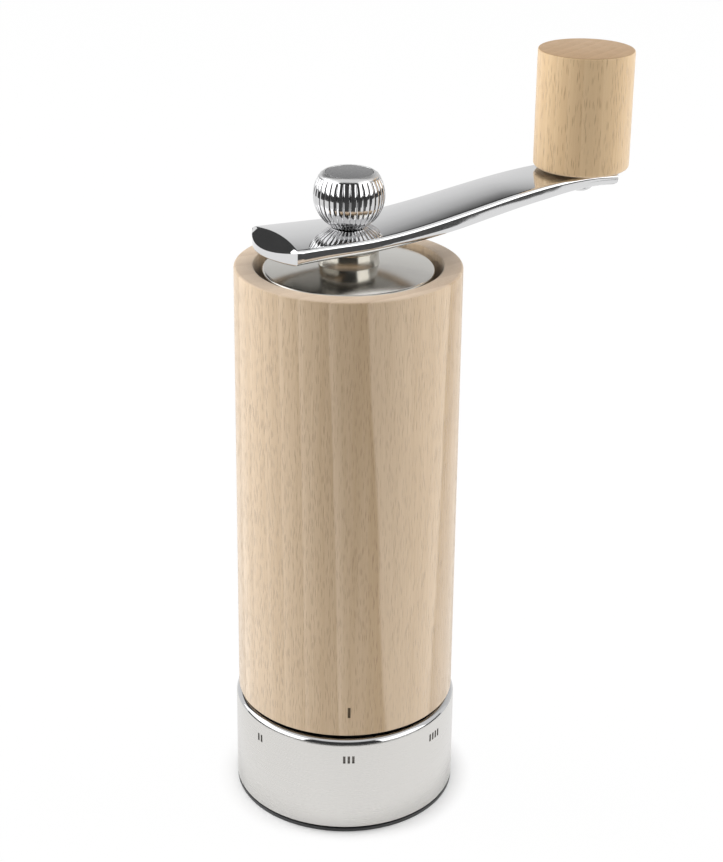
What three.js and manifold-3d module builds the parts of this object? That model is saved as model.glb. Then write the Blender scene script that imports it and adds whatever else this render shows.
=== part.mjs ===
import * as THREE from "three";
import { mergeVertices } from "three/addons/utils/BufferGeometryUtils.js";
import Module from "manifold-3d";

const wasm = await Module();
wasm.setup();

// A salt mill with a crank. A beech tube holds the salt and stands on a steel setting ring with a
// black foot. A square shaft runs down its axis from the crank arm to the grinder, a lid closes the
// tube under the arm, and a fluted ball nut holds the arm on the shaft.
// Lengths are in millimetres. Heights are above the surface that the mill stands on, and the
// shapes are drawn round the mill's own axis. The arm points along +X.

// Fits and cuts
const runGap = 0.3; // between pieces that turn or slide on each other
const seatGap = 0.3; // between a piece and the seat that is cut for it
const overrun = 1; // how far a cutting solid runs past the face that it cuts
const weld = 0.0001; // corners nearer than this are one corner

// How finely round pieces are faceted
const largeSides = 48;
const middleSides = 32;
const smallSides = 16;
const screwSides = 8;
const wedgeSteps = 10;

// Wooden tube. All the round pieces in it and under it follow its radius.
const tubeRadius = 27.8;
const tubeHeight = 115.2;
const tubeLift = 0.35; // gap between the ring and the tube
const tubeRounding = 0.6;
const mouthWall = 4.8; // wall of wood round the mouth
const mouthDepth = 15.2;
const storeWall = 7.8; // wall of wood round the salt space
const socketWall = 5.8; // wall of wood round the grinder's housing
const socketHeight = 30;
const rebateWall = 1.1; // wall of wood round the housing's flange
const rebateDepth = 3;
const edgeSteps = 2;

// Steel setting ring
const ringProud = 0.7; // the ring stands out from the tube by this much
const ringWall = 1.2;
const ringHeight = 26.25;
const ringShoulder = 2; // radius of the rounded shoulder
const ringLip = 4; // the shoulder turns in by this much
const shoulderSteps = 3;

// Settings: six marks on the ring, and one mark on the tube that they are read against
const settings = 6;
const sectors = 7; // the marks are a seventh of a turn apart, and one place is bare
const shownSetting = 3;
const indexTurn = -112; // degrees from the arm to the mark on the tube
const barWidth = 0.5;
const barHeight = 2;
const barPitch = 1.14;
const barDrop = 6.25; // from the top of the ring down to the middle of its marks
const indexWidth = 0.7;
const indexHeight = 2.9;
const indexLift = 6.65; // from the bottom of the tube up to the middle of its mark
const markDepth = 0.3;

// Foot
const footHeight = 1.4;
const footInset = 0.4; // the foot stands back from the ring by this much
const footWidth = 4.2;
const footSkirtHeight = 3.6;
const footSkirtWall = 2.1;

// Housing
const flangeThickness = 2.8;
const neckWall = 2.8;
const neckHeight = 13;
const throatLedge = 2.6; // how far the spring's ledge stands in from the neck's bore
const springRoom = 7.7; // height between the carrier and the ledge above its spring
const ledgeThickness = 4;
const bridgeLedge = 1.9; // width of the ledge that the bearing bridge sits on
const bridgeSeatHeight = 6;
const keyCount = 3;
const keyWidth = 3.4;
const keyDepth = 0.8;
const keyHeight = 13.5;
const keywaySpare = 1.5; // length of keyway left over the key when it is highest

// Housing screws
const screwCount = 3;
const screwInset = 3.4; // from the outside of the tube in to the screws' axes
const screwTurn = 30; // degrees from the arm to the first screw
const screwHeadRadius = 1.6;
const screwHeadHeight = 1.3;
const screwRadius = 0.9;
const screwLength = 12;
const screwPoint = 1.5;

// Setting collar, its snap ring, its drag ring and its stop
const collarWall = 4.3;
const collarFootRoom = 0.3;
const collarBearingHeight = 8.95;
const threadReach = 1; // how far the carrier's thread stands out past the neck
const snapThickness = 1;
const snapReach = 0.9; // how far the snap ring stands out past the neck
const snapGrooveDepth = 0.9;
const snapMouth = 12; // degrees
const dragSection = 1.2; // thickness of the rubber ring
const dragGap = 0.2; // between the rubber ring and what it touches
const dragLift = 6.5; // from the end of the neck up to the middle of the rubber ring
const dragSides = 6;
const stopHeight = 1.4;
const stopThickness = 1.4;
const stopAngle = 20; // degrees
const stopPlay = 1; // degrees
const stopTurn = 160; // degrees from the arm to the collar's stop

// Carrier and the two halves of the grinder
const carrierLift = 6.3; // height of the carrier's underside
const carrierHeight = 19.7;
const carrierWall = 2;
const carrierFlangeHeight = 4.7;
const carrierLip = 1.3; // the lip under the outer grinder turns in by this much
const carrierLipHeight = 2.3;
const statorHeight = 14.6;
const statorToothDepth = 0.8;
const statorTeeth = 24;
const statorPointsPerTooth = 2;
const rotorHeight = 14.8;
const grindTopGap = 1.2; // between the two halves of the grinder, where the salt comes in
const grindBottomGap = 0.9; // and where it leaves
const rotorToothDepth = 1.1;
const rotorTeeth = 12;
const rotorPointsPerTooth = 3;
const rotorTwist = 40; // degrees
const rotorLevels = 5;

// Carrier's spring
const springInset = 1.25; // from the neck's bore in to the middle of the wire
const springWire = 0.9;
const springTurns = 4;
const springStepsPerTurn = 12;
const springSides = 5;

// Shaft and what is on it
const shaftSide = 5;
const studRadius = 2.3;
const studLength = 11.8;
const clipGrooveRadius = 2.6;
const clipThickness = 1;
const clipRadius = 5.6;
const clipMouth = 50; // degrees
const spacerWall = 1.2;
const rotorWasherRadius = 6.2;
const rotorWasherThickness = 0.7;
const rotorScrewHeadRadius = 4.2;
const rotorScrewHeadHeight = 2.5;
const rotorScrewRadius = 1.6;
const rotorScrewLength = 11;
const hexSides = 6;
const hexAcross = 3; // across the flats of the screw's socket
const hexDepth = 1.6;

// Bearing bridge and bush
const bridgeRimWall = 1.8;
const bridgeRimHeight = 4;
const bridgeArmWidth = 6;
const bridgeHubRadius = 6.2;
const bridgeHubHeight = 8;
const bushWall = 1;
const bushFlangeRadius = 5.8;
const bushFlangeThickness = 1;

// Lid
const lidGap = 1.9; // from the mouth's wall in to the lid
const lidSheet = 0.8;
const lidDome = 0.8; // how much higher the middle is than the rim
const lidDrop = 0.9; // from the top of the tube down to the top of the rim
const lidRimRadius = 0.8;
const lidSkirtHeight = 1.8;
const plugHeight = 8.3;
const plugShoulder = 2.8; // the top of the plug stands in from its sides by this much
const plugSpigotHeight = 3.7;
const plugHollowDepth = 9.5;
const plugWall = 1.9;
const plugBossWall = 2.2;
const hubBaseRadius = 7.85;
const hubWaistRadius = 7.1;
const hubTopRadius = 7.5;
const hubHeight = 4.5;
const hubBaseHeight = 0.7;
const hubTopHeight = 0.8;
const hubStemRadius = 5.9;
const hubStemLength = 12.5;
const hubBushWall = 1.05;
const hubWasherRadius = 7;
const hubWasherThickness = 0.5;

// Crank arm: flat over the hub, then an S-bend up to the grip
const armThickness = 2.8;
const armLift = 8.3; // from the top of the tube up to the arm's top face over the hub
const armRise = 9.5;
const armTail = 19.2; // from the shaft to the corners of the short end
const armReach = 70; // from the shaft to the corners of the long end
const armTailWidth = 22.4;
const armTipWidth = 19.6;
const armEndBulge = 3;
const armBendStart = 3;
const armBendStartHandle = 14;
const armBendEndHandle = 22;
const armBendOver = 2; // the bend runs on past the corners of the long end by this much
const armBendSteps = 12;
const armEndSteps = 8;
const armBevelRun = 3.4; // the short end's bevel on plan
const armBevelFall = 1.3;
const armChamfer = 0.4;

// Ball nut
const ballRadius = 8.55;
const ballLift = 9.1; // from the arm's top face up to the ball's middle
const ballTopLift = 5.7; // from the ball's middle up to its flat top
const ballNeckRadius = 4.2;
const ballNeckHeight = 1.3;
const ballSeat = 0.2;
const ballFlutes = 32;
const ballFluteDepth = 0.35;
const ballLevels = 8;
const ballPointsPerFlute = 2;
const ballDiscRadius = 5.35;
const ballDiscThickness = 0.8;
const ballDiscInset = 0.4;
const studSpare = 0.4; // depth of the ball's bore past the end of the stud

// Grip and its axle
const gripInset = 6.2; // from the corners of the arm's long end back to the grip's axis
const gripRadius = 12;
const gripHeight = 29.25;
const gripLift = 18.25; // from the top of the tube up to the grip's underside
const gripRounding = 0.8;
const gripBushWall = 1.5;
const gripBushLength = 19;
const gripBoreSpare = 4.2; // depth of the grip's bore past its bush
const axleRadius = 2.4;
const axleHeadRadius = 3.2;
const axleHeadHeight = 1.4;
const axleHeadRoom = 0.55; // the arm still rises a little here, so the head hangs clear of it
const axleSpare = 2;
const axleGrooveDepth = 0.5;
const axleClipRadius = 4;
const axleClipThickness = 0.9;
const axleClipMouth = 50; // degrees
const gripWasherRadius = 4.6;
const gripWasherThickness = 0.3;

// Shares of the sizes that they follow
const waistHeightShare = 0.45; // where the hub is narrowest
const domeShares = [0.5, 0.8]; // radii at which the lid's dome has its points
const ballBottomShare = 0.9; // how far down the ball its flutes run, of its radius
const statorTopShare = 0.54; // radius of the outer grinder's bore at its top, of its outside
const statorBottomShare = 0.89; // and at its bottom
const screwEdgeShare = 0.33; // broken edge of the rotor screw's head, of its height
const axleCrownShares = [0.5, 0.2]; // a point on the axle's domed head, of its radius and height
const axleEdgeShare = 0.6; // where the dome ends, of the head's height

// Heights
const ringBottom = footHeight;
const ringTop = ringBottom + ringHeight;
const tubeBottom = ringTop + tubeLift;
const tubeTop = tubeBottom + tubeHeight;
const socketTop = tubeBottom + socketHeight;
const flangeBottom = tubeBottom + rebateDepth - seatGap - flangeThickness;
const flangeTop = flangeBottom + flangeThickness;
const neckBottom = flangeBottom - neckHeight;
const housingTop = socketTop - seatGap;
const collarBottom = footHeight + footSkirtHeight + collarFootRoom;
const collarTop = ringTop - ringWall - seatGap;
const collarStep = collarTop - collarBearingHeight;
const snapTop = collarStep - runGap;
const carrierTop = carrierLift + carrierHeight;
const ledgeBottom = carrierTop + springRoom + seatGap;
const bridgeBottom = ledgeBottom + ledgeThickness;
const statorBottom = carrierLift + carrierLipHeight + seatGap;
const rotorBottom = statorBottom;
const rotorTop = rotorBottom + rotorHeight;
const bushTop = bridgeBottom + bridgeHubHeight + runGap + bushFlangeThickness;
const clipBottom = bushTop + runGap;
const armTop = tubeTop + armLift;
const armBottom = armTop - armThickness;
const plugStep = tubeTop - mouthDepth + seatGap;
const plugStepTop = plugStep + plugHeight;
const lidRimTop = tubeTop - lidDrop;
const lidTop = lidRimTop + lidDome;
const hubBottom = lidTop;
const hubTop = hubBottom + hubHeight;
const ballBottom = armTop + ballSeat;
const ballMiddle = armTop + ballLift;
const ballTop = ballMiddle + ballTopLift;
const shaftShoulder = armTop - runGap;
const shaftBottom = rotorBottom + seatGap;
const studTop = shaftShoulder + studLength;
const gripBottom = tubeTop + gripLift;
const gripTop = gripBottom + gripHeight;

// Radii that follow the tube's
const mouthRadius = tubeRadius - mouthWall;
const storeRadius = tubeRadius - storeWall;
const socketRadius = tubeRadius - socketWall;
const rebateRadius = tubeRadius - rebateWall;
const screwCircle = tubeRadius - screwInset;
const ringRadius = tubeRadius + ringProud;
const ringLipRadius = ringRadius - ringLip;
const ringBoreRadius = ringRadius - ringWall;
const footRadius = ringRadius - footInset;
const footBoreRadius = footRadius - footWidth;
const lidRadius = mouthRadius - lidGap;

// Radii that fit one piece to another
const collarRadius = ringBoreRadius - seatGap;
const collarBoreRadius = collarRadius - collarWall;
const neckRadius = collarBoreRadius - runGap;
const neckBoreRadius = neckRadius - neckWall;
const threadRadius = neckRadius + threadReach;
const collarThreadRadius = threadRadius + runGap;
const snapOuterRadius = neckRadius + snapReach;
const housingRadius = socketRadius - seatGap;
const flangeRadius = rebateRadius - seatGap;
const throatRadius = neckBoreRadius - throatLedge;
const bridgeSeatRadius = throatRadius + bridgeLedge;
const bridgeRimRadius = bridgeSeatRadius - seatGap;
const springRadius = neckBoreRadius - springInset;
const carrierRadius = neckBoreRadius - runGap;
const carrierBoreRadius = carrierRadius - carrierWall;
const carrierLipRadius = carrierBoreRadius - carrierLip;
const statorRadius = carrierBoreRadius - seatGap;
const statorTopRadius = statorRadius * statorTopShare;
const statorBottomRadius = statorRadius * statorBottomShare;
const rotorTopRadius = statorTopRadius - grindTopGap;
const rotorBottomRadius = statorBottomRadius - grindBottomGap;
const shaftCorner = shaftSide * Math.SQRT1_2;
const bushBoreRadius = shaftCorner + runGap;
const bushRadius = bushBoreRadius + bushWall;
const hubBushRadius = bushBoreRadius + hubBushWall;
const hubBoreRadius = hubBushRadius + seatGap;
const stemHoleRadius = hubStemRadius + seatGap;
const plugRadius = mouthRadius - seatGap;
const plugStepRadius = plugRadius - plugShoulder;
const spigotRadius = storeRadius - seatGap;
const lidBoreRadius = lidRadius - lidSheet;
const snapInnerRadius = neckRadius - snapGrooveDepth + seatGap;
const dragRadius = collarBoreRadius - dragGap - dragSection / 2;
const axleBoreRadius = axleRadius + seatGap;
const gripBushRadius = axleBoreRadius + gripBushWall;
const gripBoreRadius = gripBushRadius + seatGap;

// Places along the arm
const armBendEnd = armReach + armBendOver;
const gripOffset = armReach - gripInset;

// Turning
const settingAngle = 360 / sectors;
const turnDown = -(settings - shownSetting) * settingAngle;
const turnUp = (shownSetting - 1) * settingAngle;
const radians = THREE.MathUtils.degToRad;

// Returns a solid for a closed geometry: its shared corners are merged and flat facets dropped.
function solid(geometry) {
  const bare = new THREE.BufferGeometry();
  bare.setAttribute("position", geometry.getAttribute("position"));
  bare.setIndex(geometry.getIndex());
  const merged = mergeVertices(bare, weld);
  const index = merged.getIndex().array;
  const kept = [];
  for (let i = 0; i < index.length; i += 3) {
    const [a, b, c] = [index[i], index[i + 1], index[i + 2]];
    if (a !== b && b !== c && c !== a) kept.push(a, b, c);
  }
  return new wasm.Manifold(new wasm.Mesh({
    numProp: 3,
    vertProperties: Float32Array.from(merged.getAttribute("position").array),
    triVerts: Uint32Array.from(kept),
  }));
}

// Gives a solid's surface back as a geometry.
function surface(shape) {
  const mesh = shape.getMesh();
  const corners = mesh.numProp === 3 ? mesh.vertProperties : dropExtra(mesh);
  const geometry = new THREE.BufferGeometry();
  geometry.setAttribute("position", new THREE.BufferAttribute(new Float32Array(corners), 3));
  geometry.setIndex(new THREE.BufferAttribute(new Uint32Array(mesh.triVerts), 1));
  geometry.computeVertexNormals();
  return geometry;
}

// Keeps only the places of a surface whose corners carry more than that.
function dropExtra(mesh) {
  const count = mesh.vertProperties.length / mesh.numProp;
  const corners = new Float32Array(count * 3);
  for (let i = 0; i < count; i += 1) {
    for (let k = 0; k < 3; k += 1) corners[i * 3 + k] = mesh.vertProperties[i * mesh.numProp + k];
  }
  return corners;
}

// Turns an outline of [radius, height] pairs round the Z axis. The outline runs up its outer side.
// It either starts and ends on the axis or is closed here.
function turned(outline, sides) {
  const points = outline.map(([r, z]) => new THREE.Vector2(r, z));
  const first = points[0];
  if (first.x > 0) points.push(first.clone());
  return solid(new THREE.LatheGeometry(points, sides).rotateX(Math.PI / 2));
}

// Points along an arc in an outline, from one angle to another, in degrees.
function arc(r, z, radius, from, to, steps) {
  const points = [];
  for (let i = 0; i <= steps; i += 1) {
    const a = radians(from + ((to - from) * i) / steps);
    points.push([r + radius * Math.cos(a), z + radius * Math.sin(a)]);
  }
  return points;
}

// A plain round bar between two heights.
function bar(radius, from, to, sides) {
  return turned([[0, from], [radius, from], [radius, to], [0, to]], sides);
}

// A plain tube between two heights.
function tube(inner, outer, from, to, sides) {
  return turned([[inner, from], [outer, from], [outer, to], [inner, to]], sides);
}

// A block given by its size and its middle.
function block(sizeX, sizeY, sizeZ, x, y, z) {
  return solid(new THREE.BoxGeometry(sizeX, sizeY, sizeZ).translate(x, y, z));
}

// A wedge of a ring between two angles in degrees, standing on a height.
function ringWedge(inner, outer, from, to, height, start) {
  const shape = new THREE.Shape();
  shape.absarc(0, 0, outer, radians(start), radians(start + (to - from)), false);
  shape.absarc(0, 0, inner, radians(start + (to - from)), radians(start), true);
  shape.closePath();
  const wedge = new THREE.ExtrudeGeometry(shape, {
    depth: height, bevelEnabled: false, curveSegments: wedgeSteps,
  });
  return solid(wedge);
}

// Joins rings of points into one closed skin. Each ring has as many points, listed the same way
// round, counter-clockwise seen from above, and the rings run upwards.
function loft(rings) {
  const count = rings[0].length;
  const corners = rings.flat();
  const index = [];
  for (let k = 0; k + 1 < rings.length; k += 1) {
    for (let i = 0; i < count; i += 1) {
      const j = (i + 1) % count;
      const [a, b] = [k * count + i, k * count + j];
      const [c, d] = [a + count, b + count];
      index.push(a, b, d, a, d, c);
    }
  }
  const middle = (ring) => ring
    .reduce((sum, p) => sum.add(p), new THREE.Vector3())
    .divideScalar(count);
  const last = (rings.length - 1) * count;
  corners.push(middle(rings[0]), middle(rings[rings.length - 1]));
  for (let i = 0; i < count; i += 1) {
    const j = (i + 1) % count;
    index.push(j, i, corners.length - 2);
    index.push(last + i, last + j, corners.length - 1);
  }
  const geometry = new THREE.BufferGeometry().setFromPoints(corners);
  geometry.setIndex(index);
  return solid(geometry);
}

// A ring of points whose radius dips at each tooth or flute. A point's place in its tooth runs
// from 0 to 1, and the dip is greatest at 0.
function toothedRing(radius, depth, teeth, perTooth, height, turn) {
  const ring = [];
  for (let i = 0; i < teeth * perTooth; i += 1) {
    const a = radians(turn) + (2 * Math.PI * i) / (teeth * perTooth);
    const r = i % perTooth === 0 ? radius - depth : radius;
    ring.push(new THREE.Vector3(r * Math.cos(a), r * Math.sin(a), height));
  }
  return ring;
}

// Copies of a solid, evenly turned round the Z axis.
function around(shape, count, first = 0) {
  const copies = [];
  for (let i = 0; i < count; i += 1) copies.push(shape.rotate([0, 0, first + (360 * i) / count]));
  return wasm.Manifold.union(copies);
}

// Foot: a flat black ring under the steel one, with a skirt that plugs into it.
function footRing() {
  const skirtTop = footHeight + footSkirtHeight;
  return turned([
    [footBoreRadius, 0],
    [footRadius, 0],
    [footRadius, footHeight],
    [collarRadius, footHeight],
    [collarRadius, skirtTop],
    [collarRadius - footSkirtWall, skirtTop],
    [collarRadius - footSkirtWall, footHeight],
    [footBoreRadius, footHeight],
  ], largeSides);
}

// What is cut out for one mark: upright bars side by side in a round face.
function tally(count, width, height, radius, middle, turn) {
  const depth = markDepth + overrun;
  const bars = [];
  for (let i = 0; i < count; i += 1) {
    const off = ((i - (count - 1) / 2) * barPitch) / radius;
    const piece = block(depth, width, height, radius - markDepth + depth / 2, 0, middle);
    bars.push(piece.rotate([0, 0, turn + THREE.MathUtils.radToDeg(off)]));
  }
  return wasm.Manifold.union(bars);
}

// The bars of all the settings, as many to a mark as its number.
function ringMarks() {
  const marks = [];
  for (let k = 1; k <= settings; k += 1) {
    const turn = indexTurn + (k - shownSetting) * settingAngle;
    marks.push(tally(k, barWidth, barHeight, ringRadius, ringTop - barDrop, turn));
  }
  return wasm.Manifold.union(marks);
}

// Mark on the tube that the ring's marks are read against.
function indexMark() {
  return tally(1, indexWidth, indexHeight, tubeRadius, tubeBottom + indexLift, indexTurn);
}

// Setting ring: a drawn steel sleeve whose top turns in over a rounded shoulder.
function steelSleeve() {
  const bend = ringTop - ringShoulder;
  const middle = ringRadius - ringShoulder;
  const inside = ringShoulder - ringWall;
  return turned([
    [ringBoreRadius, ringBottom],
    [ringRadius, ringBottom],
    ...arc(middle, bend, ringShoulder, 0, 90, shoulderSteps),
    [ringLipRadius, ringTop],
    [ringLipRadius, ringTop - ringWall],
    ...arc(middle, bend, inside, 90, 0, 1),
  ], largeSides).subtract(ringMarks());
}

// Setting collar: it fills the sleeve, turns on the housing's neck and drives the carrier's
// thread. The thread is drawn plain.
function settingCollar() {
  const corner = ringShoulder - ringWall;
  const body = turned([
    [collarThreadRadius, collarBottom],
    [collarRadius, collarBottom],
    [collarRadius, collarTop - corner],
    [collarRadius - corner, collarTop],
    [collarBoreRadius, collarTop],
    [collarBoreRadius, collarStep],
    [collarThreadRadius, collarStep],
  ], middleSides);
  const inner = collarBoreRadius;
  const stop = ringWedge(inner, inner + stopThickness, 0, stopAngle, stopHeight + overrun,
    stopTurn - stopAngle / 2);
  return body.add(stop.translate([0, 0, collarTop - overrun]));
}

// Wooden tube, with its mouth, its salt space, the housing's socket and rebate, and holes for the
// screws.
function woodenTube() {
  const top = tubeTop - tubeRounding;
  const outer = tubeRadius - tubeRounding;
  const body = turned([
    [rebateRadius, tubeBottom],
    [tubeRadius, tubeBottom],
    ...arc(outer, top, tubeRounding, 0, 90, edgeSteps),
    [mouthRadius, tubeTop],
    [mouthRadius, tubeTop - mouthDepth],
    [storeRadius, tubeTop - mouthDepth],
    [storeRadius, socketTop],
    [socketRadius, socketTop],
    [socketRadius, tubeBottom + rebateDepth],
    [rebateRadius, tubeBottom + rebateDepth],
  ], largeSides);
  const bore = bar(screwRadius + seatGap, flangeTop, screwTop() + seatGap, screwSides);
  const holes = around(bore.translate([screwCircle, 0, 0]), screwCount, screwTurn);
  return body.subtract(holes).subtract(indexMark());
}

// Height of the housing screws' points.
function screwTop() {
  return flangeBottom + seatGap + screwLength;
}

// One housing screw on the Z axis, with its head down, or the space that it needs in the flange.
function housingScrew(spare) {
  const bottom = flangeBottom + seatGap - (spare > 0 ? seatGap + overrun : 0);
  const neck = flangeBottom + seatGap + screwHeadHeight;
  const end = spare > 0 ? flangeTop + overrun : screwTop();
  const outline = [
    [0, bottom],
    [screwHeadRadius + spare, bottom],
    [screwHeadRadius + spare, flangeBottom + seatGap],
    [screwRadius + spare, neck],
  ];
  if (spare > 0) return turned([...outline, [screwRadius + spare, end], [0, end]], screwSides);
  return turned([...outline, [screwRadius, end - screwPoint], [0, end]], screwSides);
}

// Housing: a moulding that fits the socket in the tube. Its neck carries the collar, its ledge
// backs the carrier's spring, and its throat leads the salt down to the grinder.
function mechanismHousing() {
  const grooveTop = snapTop + seatGap / 2;
  const grooveBottom = snapTop - snapThickness - seatGap / 2;
  const groove = tube(neckRadius - snapGrooveDepth, neckRadius + overrun, grooveBottom, grooveTop,
    middleSides);
  const dragMiddle = neckBottom + dragLift;
  const dragFloor = dragRadius - dragSection / 2 - dragGap;
  const dragHalf = dragSection / 2 + dragGap;
  const dragGroove = tube(dragFloor, neckRadius + overrun, dragMiddle - dragHalf,
    dragMiddle + dragHalf, middleSides);
  const body = turned([
    [neckBoreRadius, neckBottom],
    [neckRadius, neckBottom],
    [neckRadius, flangeBottom],
    [flangeRadius, flangeBottom],
    [flangeRadius, flangeTop],
    [housingRadius, flangeTop],
    [housingRadius, housingTop],
    [storeRadius, housingTop],
    [bridgeSeatRadius, bridgeBottom + bridgeSeatHeight],
    [bridgeSeatRadius, bridgeBottom],
    [throatRadius, bridgeBottom],
    [throatRadius, ledgeBottom],
    [neckBoreRadius, ledgeBottom],
  ], middleSides);
  const keywayTop = carrierLift + carrierHeight + keywaySpare;
  const keywayReach = neckBoreRadius + keyDepth;
  const keyway = block(keywayReach, keyWidth + 2 * runGap, keywayTop - neckBottom + overrun,
    keywayReach / 2, 0, (keywayTop + neckBottom - overrun) / 2);
  const heads = around(housingScrew(seatGap).translate([screwCircle, 0, 0]), screwCount, screwTurn);
  const travel = turnUp - turnDown;
  const stopSpan = 360 - travel - stopAngle - 2 * stopPlay;
  const stopMiddle = stopTurn + turnUp + (360 - travel) / 2;
  const stop = ringWedge(neckRadius - overrun, neckRadius + stopThickness, 0, stopSpan,
    stopHeight + overrun, stopMiddle - stopSpan / 2);
  return body
    .subtract(groove)
    .subtract(dragGroove)
    .subtract(around(keyway, keyCount))
    .add(stop.translate([0, 0, flangeBottom - stopHeight]))
    .subtract(heads);
}

// A flat ring with a mouth cut out of it, as for a snap ring or a shaft clip.
function openRing(inner, outer, from, to, mouth, sides) {
  const ring = tube(inner, outer, from, to, sides);
  const gap = 2 * outer * Math.sin(radians(mouth / 2));
  const height = to - from + 2 * overrun;
  return ring.subtract(block(outer + overrun, gap, height, (outer + overrun) / 2, 0, (from + to) / 2));
}

// Snap ring under the collar's step.
function snapRing() {
  return openRing(snapInnerRadius, snapOuterRadius, snapTop - snapThickness, snapTop, snapMouth,
    middleSides);
}

// Rubber ring between the neck and the collar: its drag keeps the setting.
function dragRing() {
  const lastTurn = 360 - 360 / dragSides;
  const outline = arc(dragRadius, neckBottom + dragLift, dragSection / 2, 0, lastTurn, dragSides - 1);
  return turned(outline, middleSides);
}

// Bearing bridge: a rim that sits on the housing's ledge, and a hub on two arms, so that salt
// falls past it on both sides.
function bearingBridge() {
  const rim = tube(bridgeRimRadius - bridgeRimWall, bridgeRimRadius, bridgeBottom,
    bridgeBottom + bridgeRimHeight, middleSides);
  const hub = bar(bridgeHubRadius, bridgeBottom, bridgeBottom + bridgeHubHeight, smallSides);
  const length = 2 * (bridgeRimRadius - bridgeRimWall / 2);
  const arms = block(bridgeArmWidth, length, bridgeRimHeight, 0, 0,
    bridgeBottom + bridgeRimHeight / 2);
  const bore = bar(bushRadius + seatGap, bridgeBottom - overrun,
    bridgeBottom + bridgeHubHeight + overrun, smallSides);
  return rim.add(hub).add(arms).subtract(bore);
}

// Brass bush in the bridge's hub, with a flange on top.
function shaftBush() {
  const flangeUnder = bushTop - bushFlangeThickness;
  return turned([
    [bushBoreRadius, bridgeBottom],
    [bushRadius, bridgeBottom],
    [bushRadius, flangeUnder],
    [bushFlangeRadius, flangeUnder],
    [bushFlangeRadius, bushTop],
    [bushBoreRadius, bushTop],
  ], smallSides);
}

// Coil spring between the carrier and the housing's ledge: it takes the play out of the thread.
function carrierSpring() {
  const low = carrierTop + seatGap + springWire / 2;
  const high = ledgeBottom - seatGap - springWire / 2;
  class Coil extends THREE.Curve {
    getPoint(t, target = new THREE.Vector3()) {
      const a = 2 * Math.PI * springTurns * t;
      const x = springRadius * Math.cos(a);
      const y = springRadius * Math.sin(a);
      return target.set(x, y, low + (high - low) * t);
    }
  }
  const section = new THREE.Shape();
  for (let i = 0; i < springSides; i += 1) {
    const a = (2 * Math.PI * i) / springSides;
    const x = (springWire / 2) * Math.cos(a);
    const y = (springWire / 2) * Math.sin(a);
    if (i === 0) section.moveTo(x, y);
    else section.lineTo(x, y);
  }
  section.closePath();
  return solid(new THREE.ExtrudeGeometry(section, {
    steps: springTurns * springStepsPerTurn, extrudePath: new Coil(),
  }));
}

// Carrier: it holds the outer grinder, slides on keys in the neck and is moved by the collar's
// thread on its flange.
function grinderCarrier() {
  const flangeUp = carrierLift + carrierFlangeHeight;
  const body = turned([
    [carrierLipRadius, carrierLift],
    [threadRadius, carrierLift],
    [threadRadius, flangeUp],
    [carrierRadius, flangeUp],
    [carrierRadius, carrierTop],
    [carrierBoreRadius, carrierTop],
    [carrierBoreRadius, carrierLift + carrierLipHeight],
    [carrierLipRadius, carrierLift + carrierLipHeight],
  ], middleSides);
  const reach = carrierRadius + keyDepth;
  const inner = carrierBoreRadius + carrierWall / 2;
  const key = block(reach - inner, keyWidth, keyHeight, (reach + inner) / 2, 0,
    carrierTop - keyHeight / 2);
  return body.add(around(key, keyCount));
}

// Outer grinder: a ring with teeth down its tapered inside.
function outerGrinder() {
  const body = bar(statorRadius, statorBottom, statorBottom + statorHeight, middleSides);
  const slope = (statorTopRadius - statorBottomRadius) / statorHeight;
  const depth = statorToothDepth;
  const low = toothedRing(statorBottomRadius + depth - slope * overrun, depth, statorTeeth,
    statorPointsPerTooth, statorBottom - overrun, 0);
  const high = toothedRing(statorTopRadius + depth + slope * overrun, depth, statorTeeth,
    statorPointsPerTooth, statorBottom + statorHeight + overrun, 0);
  return body.subtract(loft([low, high]));
}

// Inner grinder: a toothed cone, twisted a little, on the square shaft.
function innerGrinder() {
  const rings = [];
  for (let k = 0; k <= rotorLevels; k += 1) {
    const t = k / rotorLevels;
    const radius = rotorBottomRadius + (rotorTopRadius - rotorBottomRadius) * t;
    rings.push(toothedRing(radius, rotorToothDepth, rotorTeeth, rotorPointsPerTooth,
      rotorBottom + rotorHeight * t, rotorTwist * t));
  }
  return loft(rings).subtract(squareHole(rotorBottom, rotorTop));
}

// Space that the square shaft needs in a piece between two heights.
function squareHole(from, to) {
  const side = shaftSide + 2 * seatGap;
  return block(side, side, to - from + 2 * overrun, 0, 0, (from + to) / 2);
}

// Drive shaft: square from the grinder to the arm, with a stud on top for the ball nut, a groove
// for its clip and a bore in its lower end for the grinder's screw.
function driveShaft() {
  const square = block(shaftSide, shaftSide, shaftShoulder - shaftBottom, 0, 0,
    (shaftShoulder + shaftBottom) / 2);
  const stud = bar(studRadius, shaftShoulder - overrun, studTop, smallSides);
  const groove = tube(clipGrooveRadius, shaftCorner + overrun, clipBottom - seatGap / 2,
    clipBottom + clipThickness + seatGap / 2, smallSides);
  const bore = bar(rotorScrewRadius + seatGap, shaftBottom - overrun,
    rotorBottom + rotorScrewLength + seatGap, smallSides);
  return square.add(stud).subtract(groove).subtract(bore);
}

// Spacer between the inner grinder and the bush.
function shaftSpacer() {
  return tube(bushBoreRadius, bushBoreRadius + spacerWall, rotorTop + seatGap,
    bridgeBottom - runGap, smallSides);
}

// Clip over the bush: the shaft hangs on it.
function shaftClip() {
  return openRing(clipGrooveRadius + seatGap, clipRadius, clipBottom, clipBottom + clipThickness,
    clipMouth, smallSides);
}

// Washer under the inner grinder.
function rotorWasher() {
  const top = rotorBottom - seatGap;
  return tube(rotorScrewRadius + seatGap, rotorWasherRadius, top - rotorWasherThickness, top,
    smallSides);
}

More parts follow.
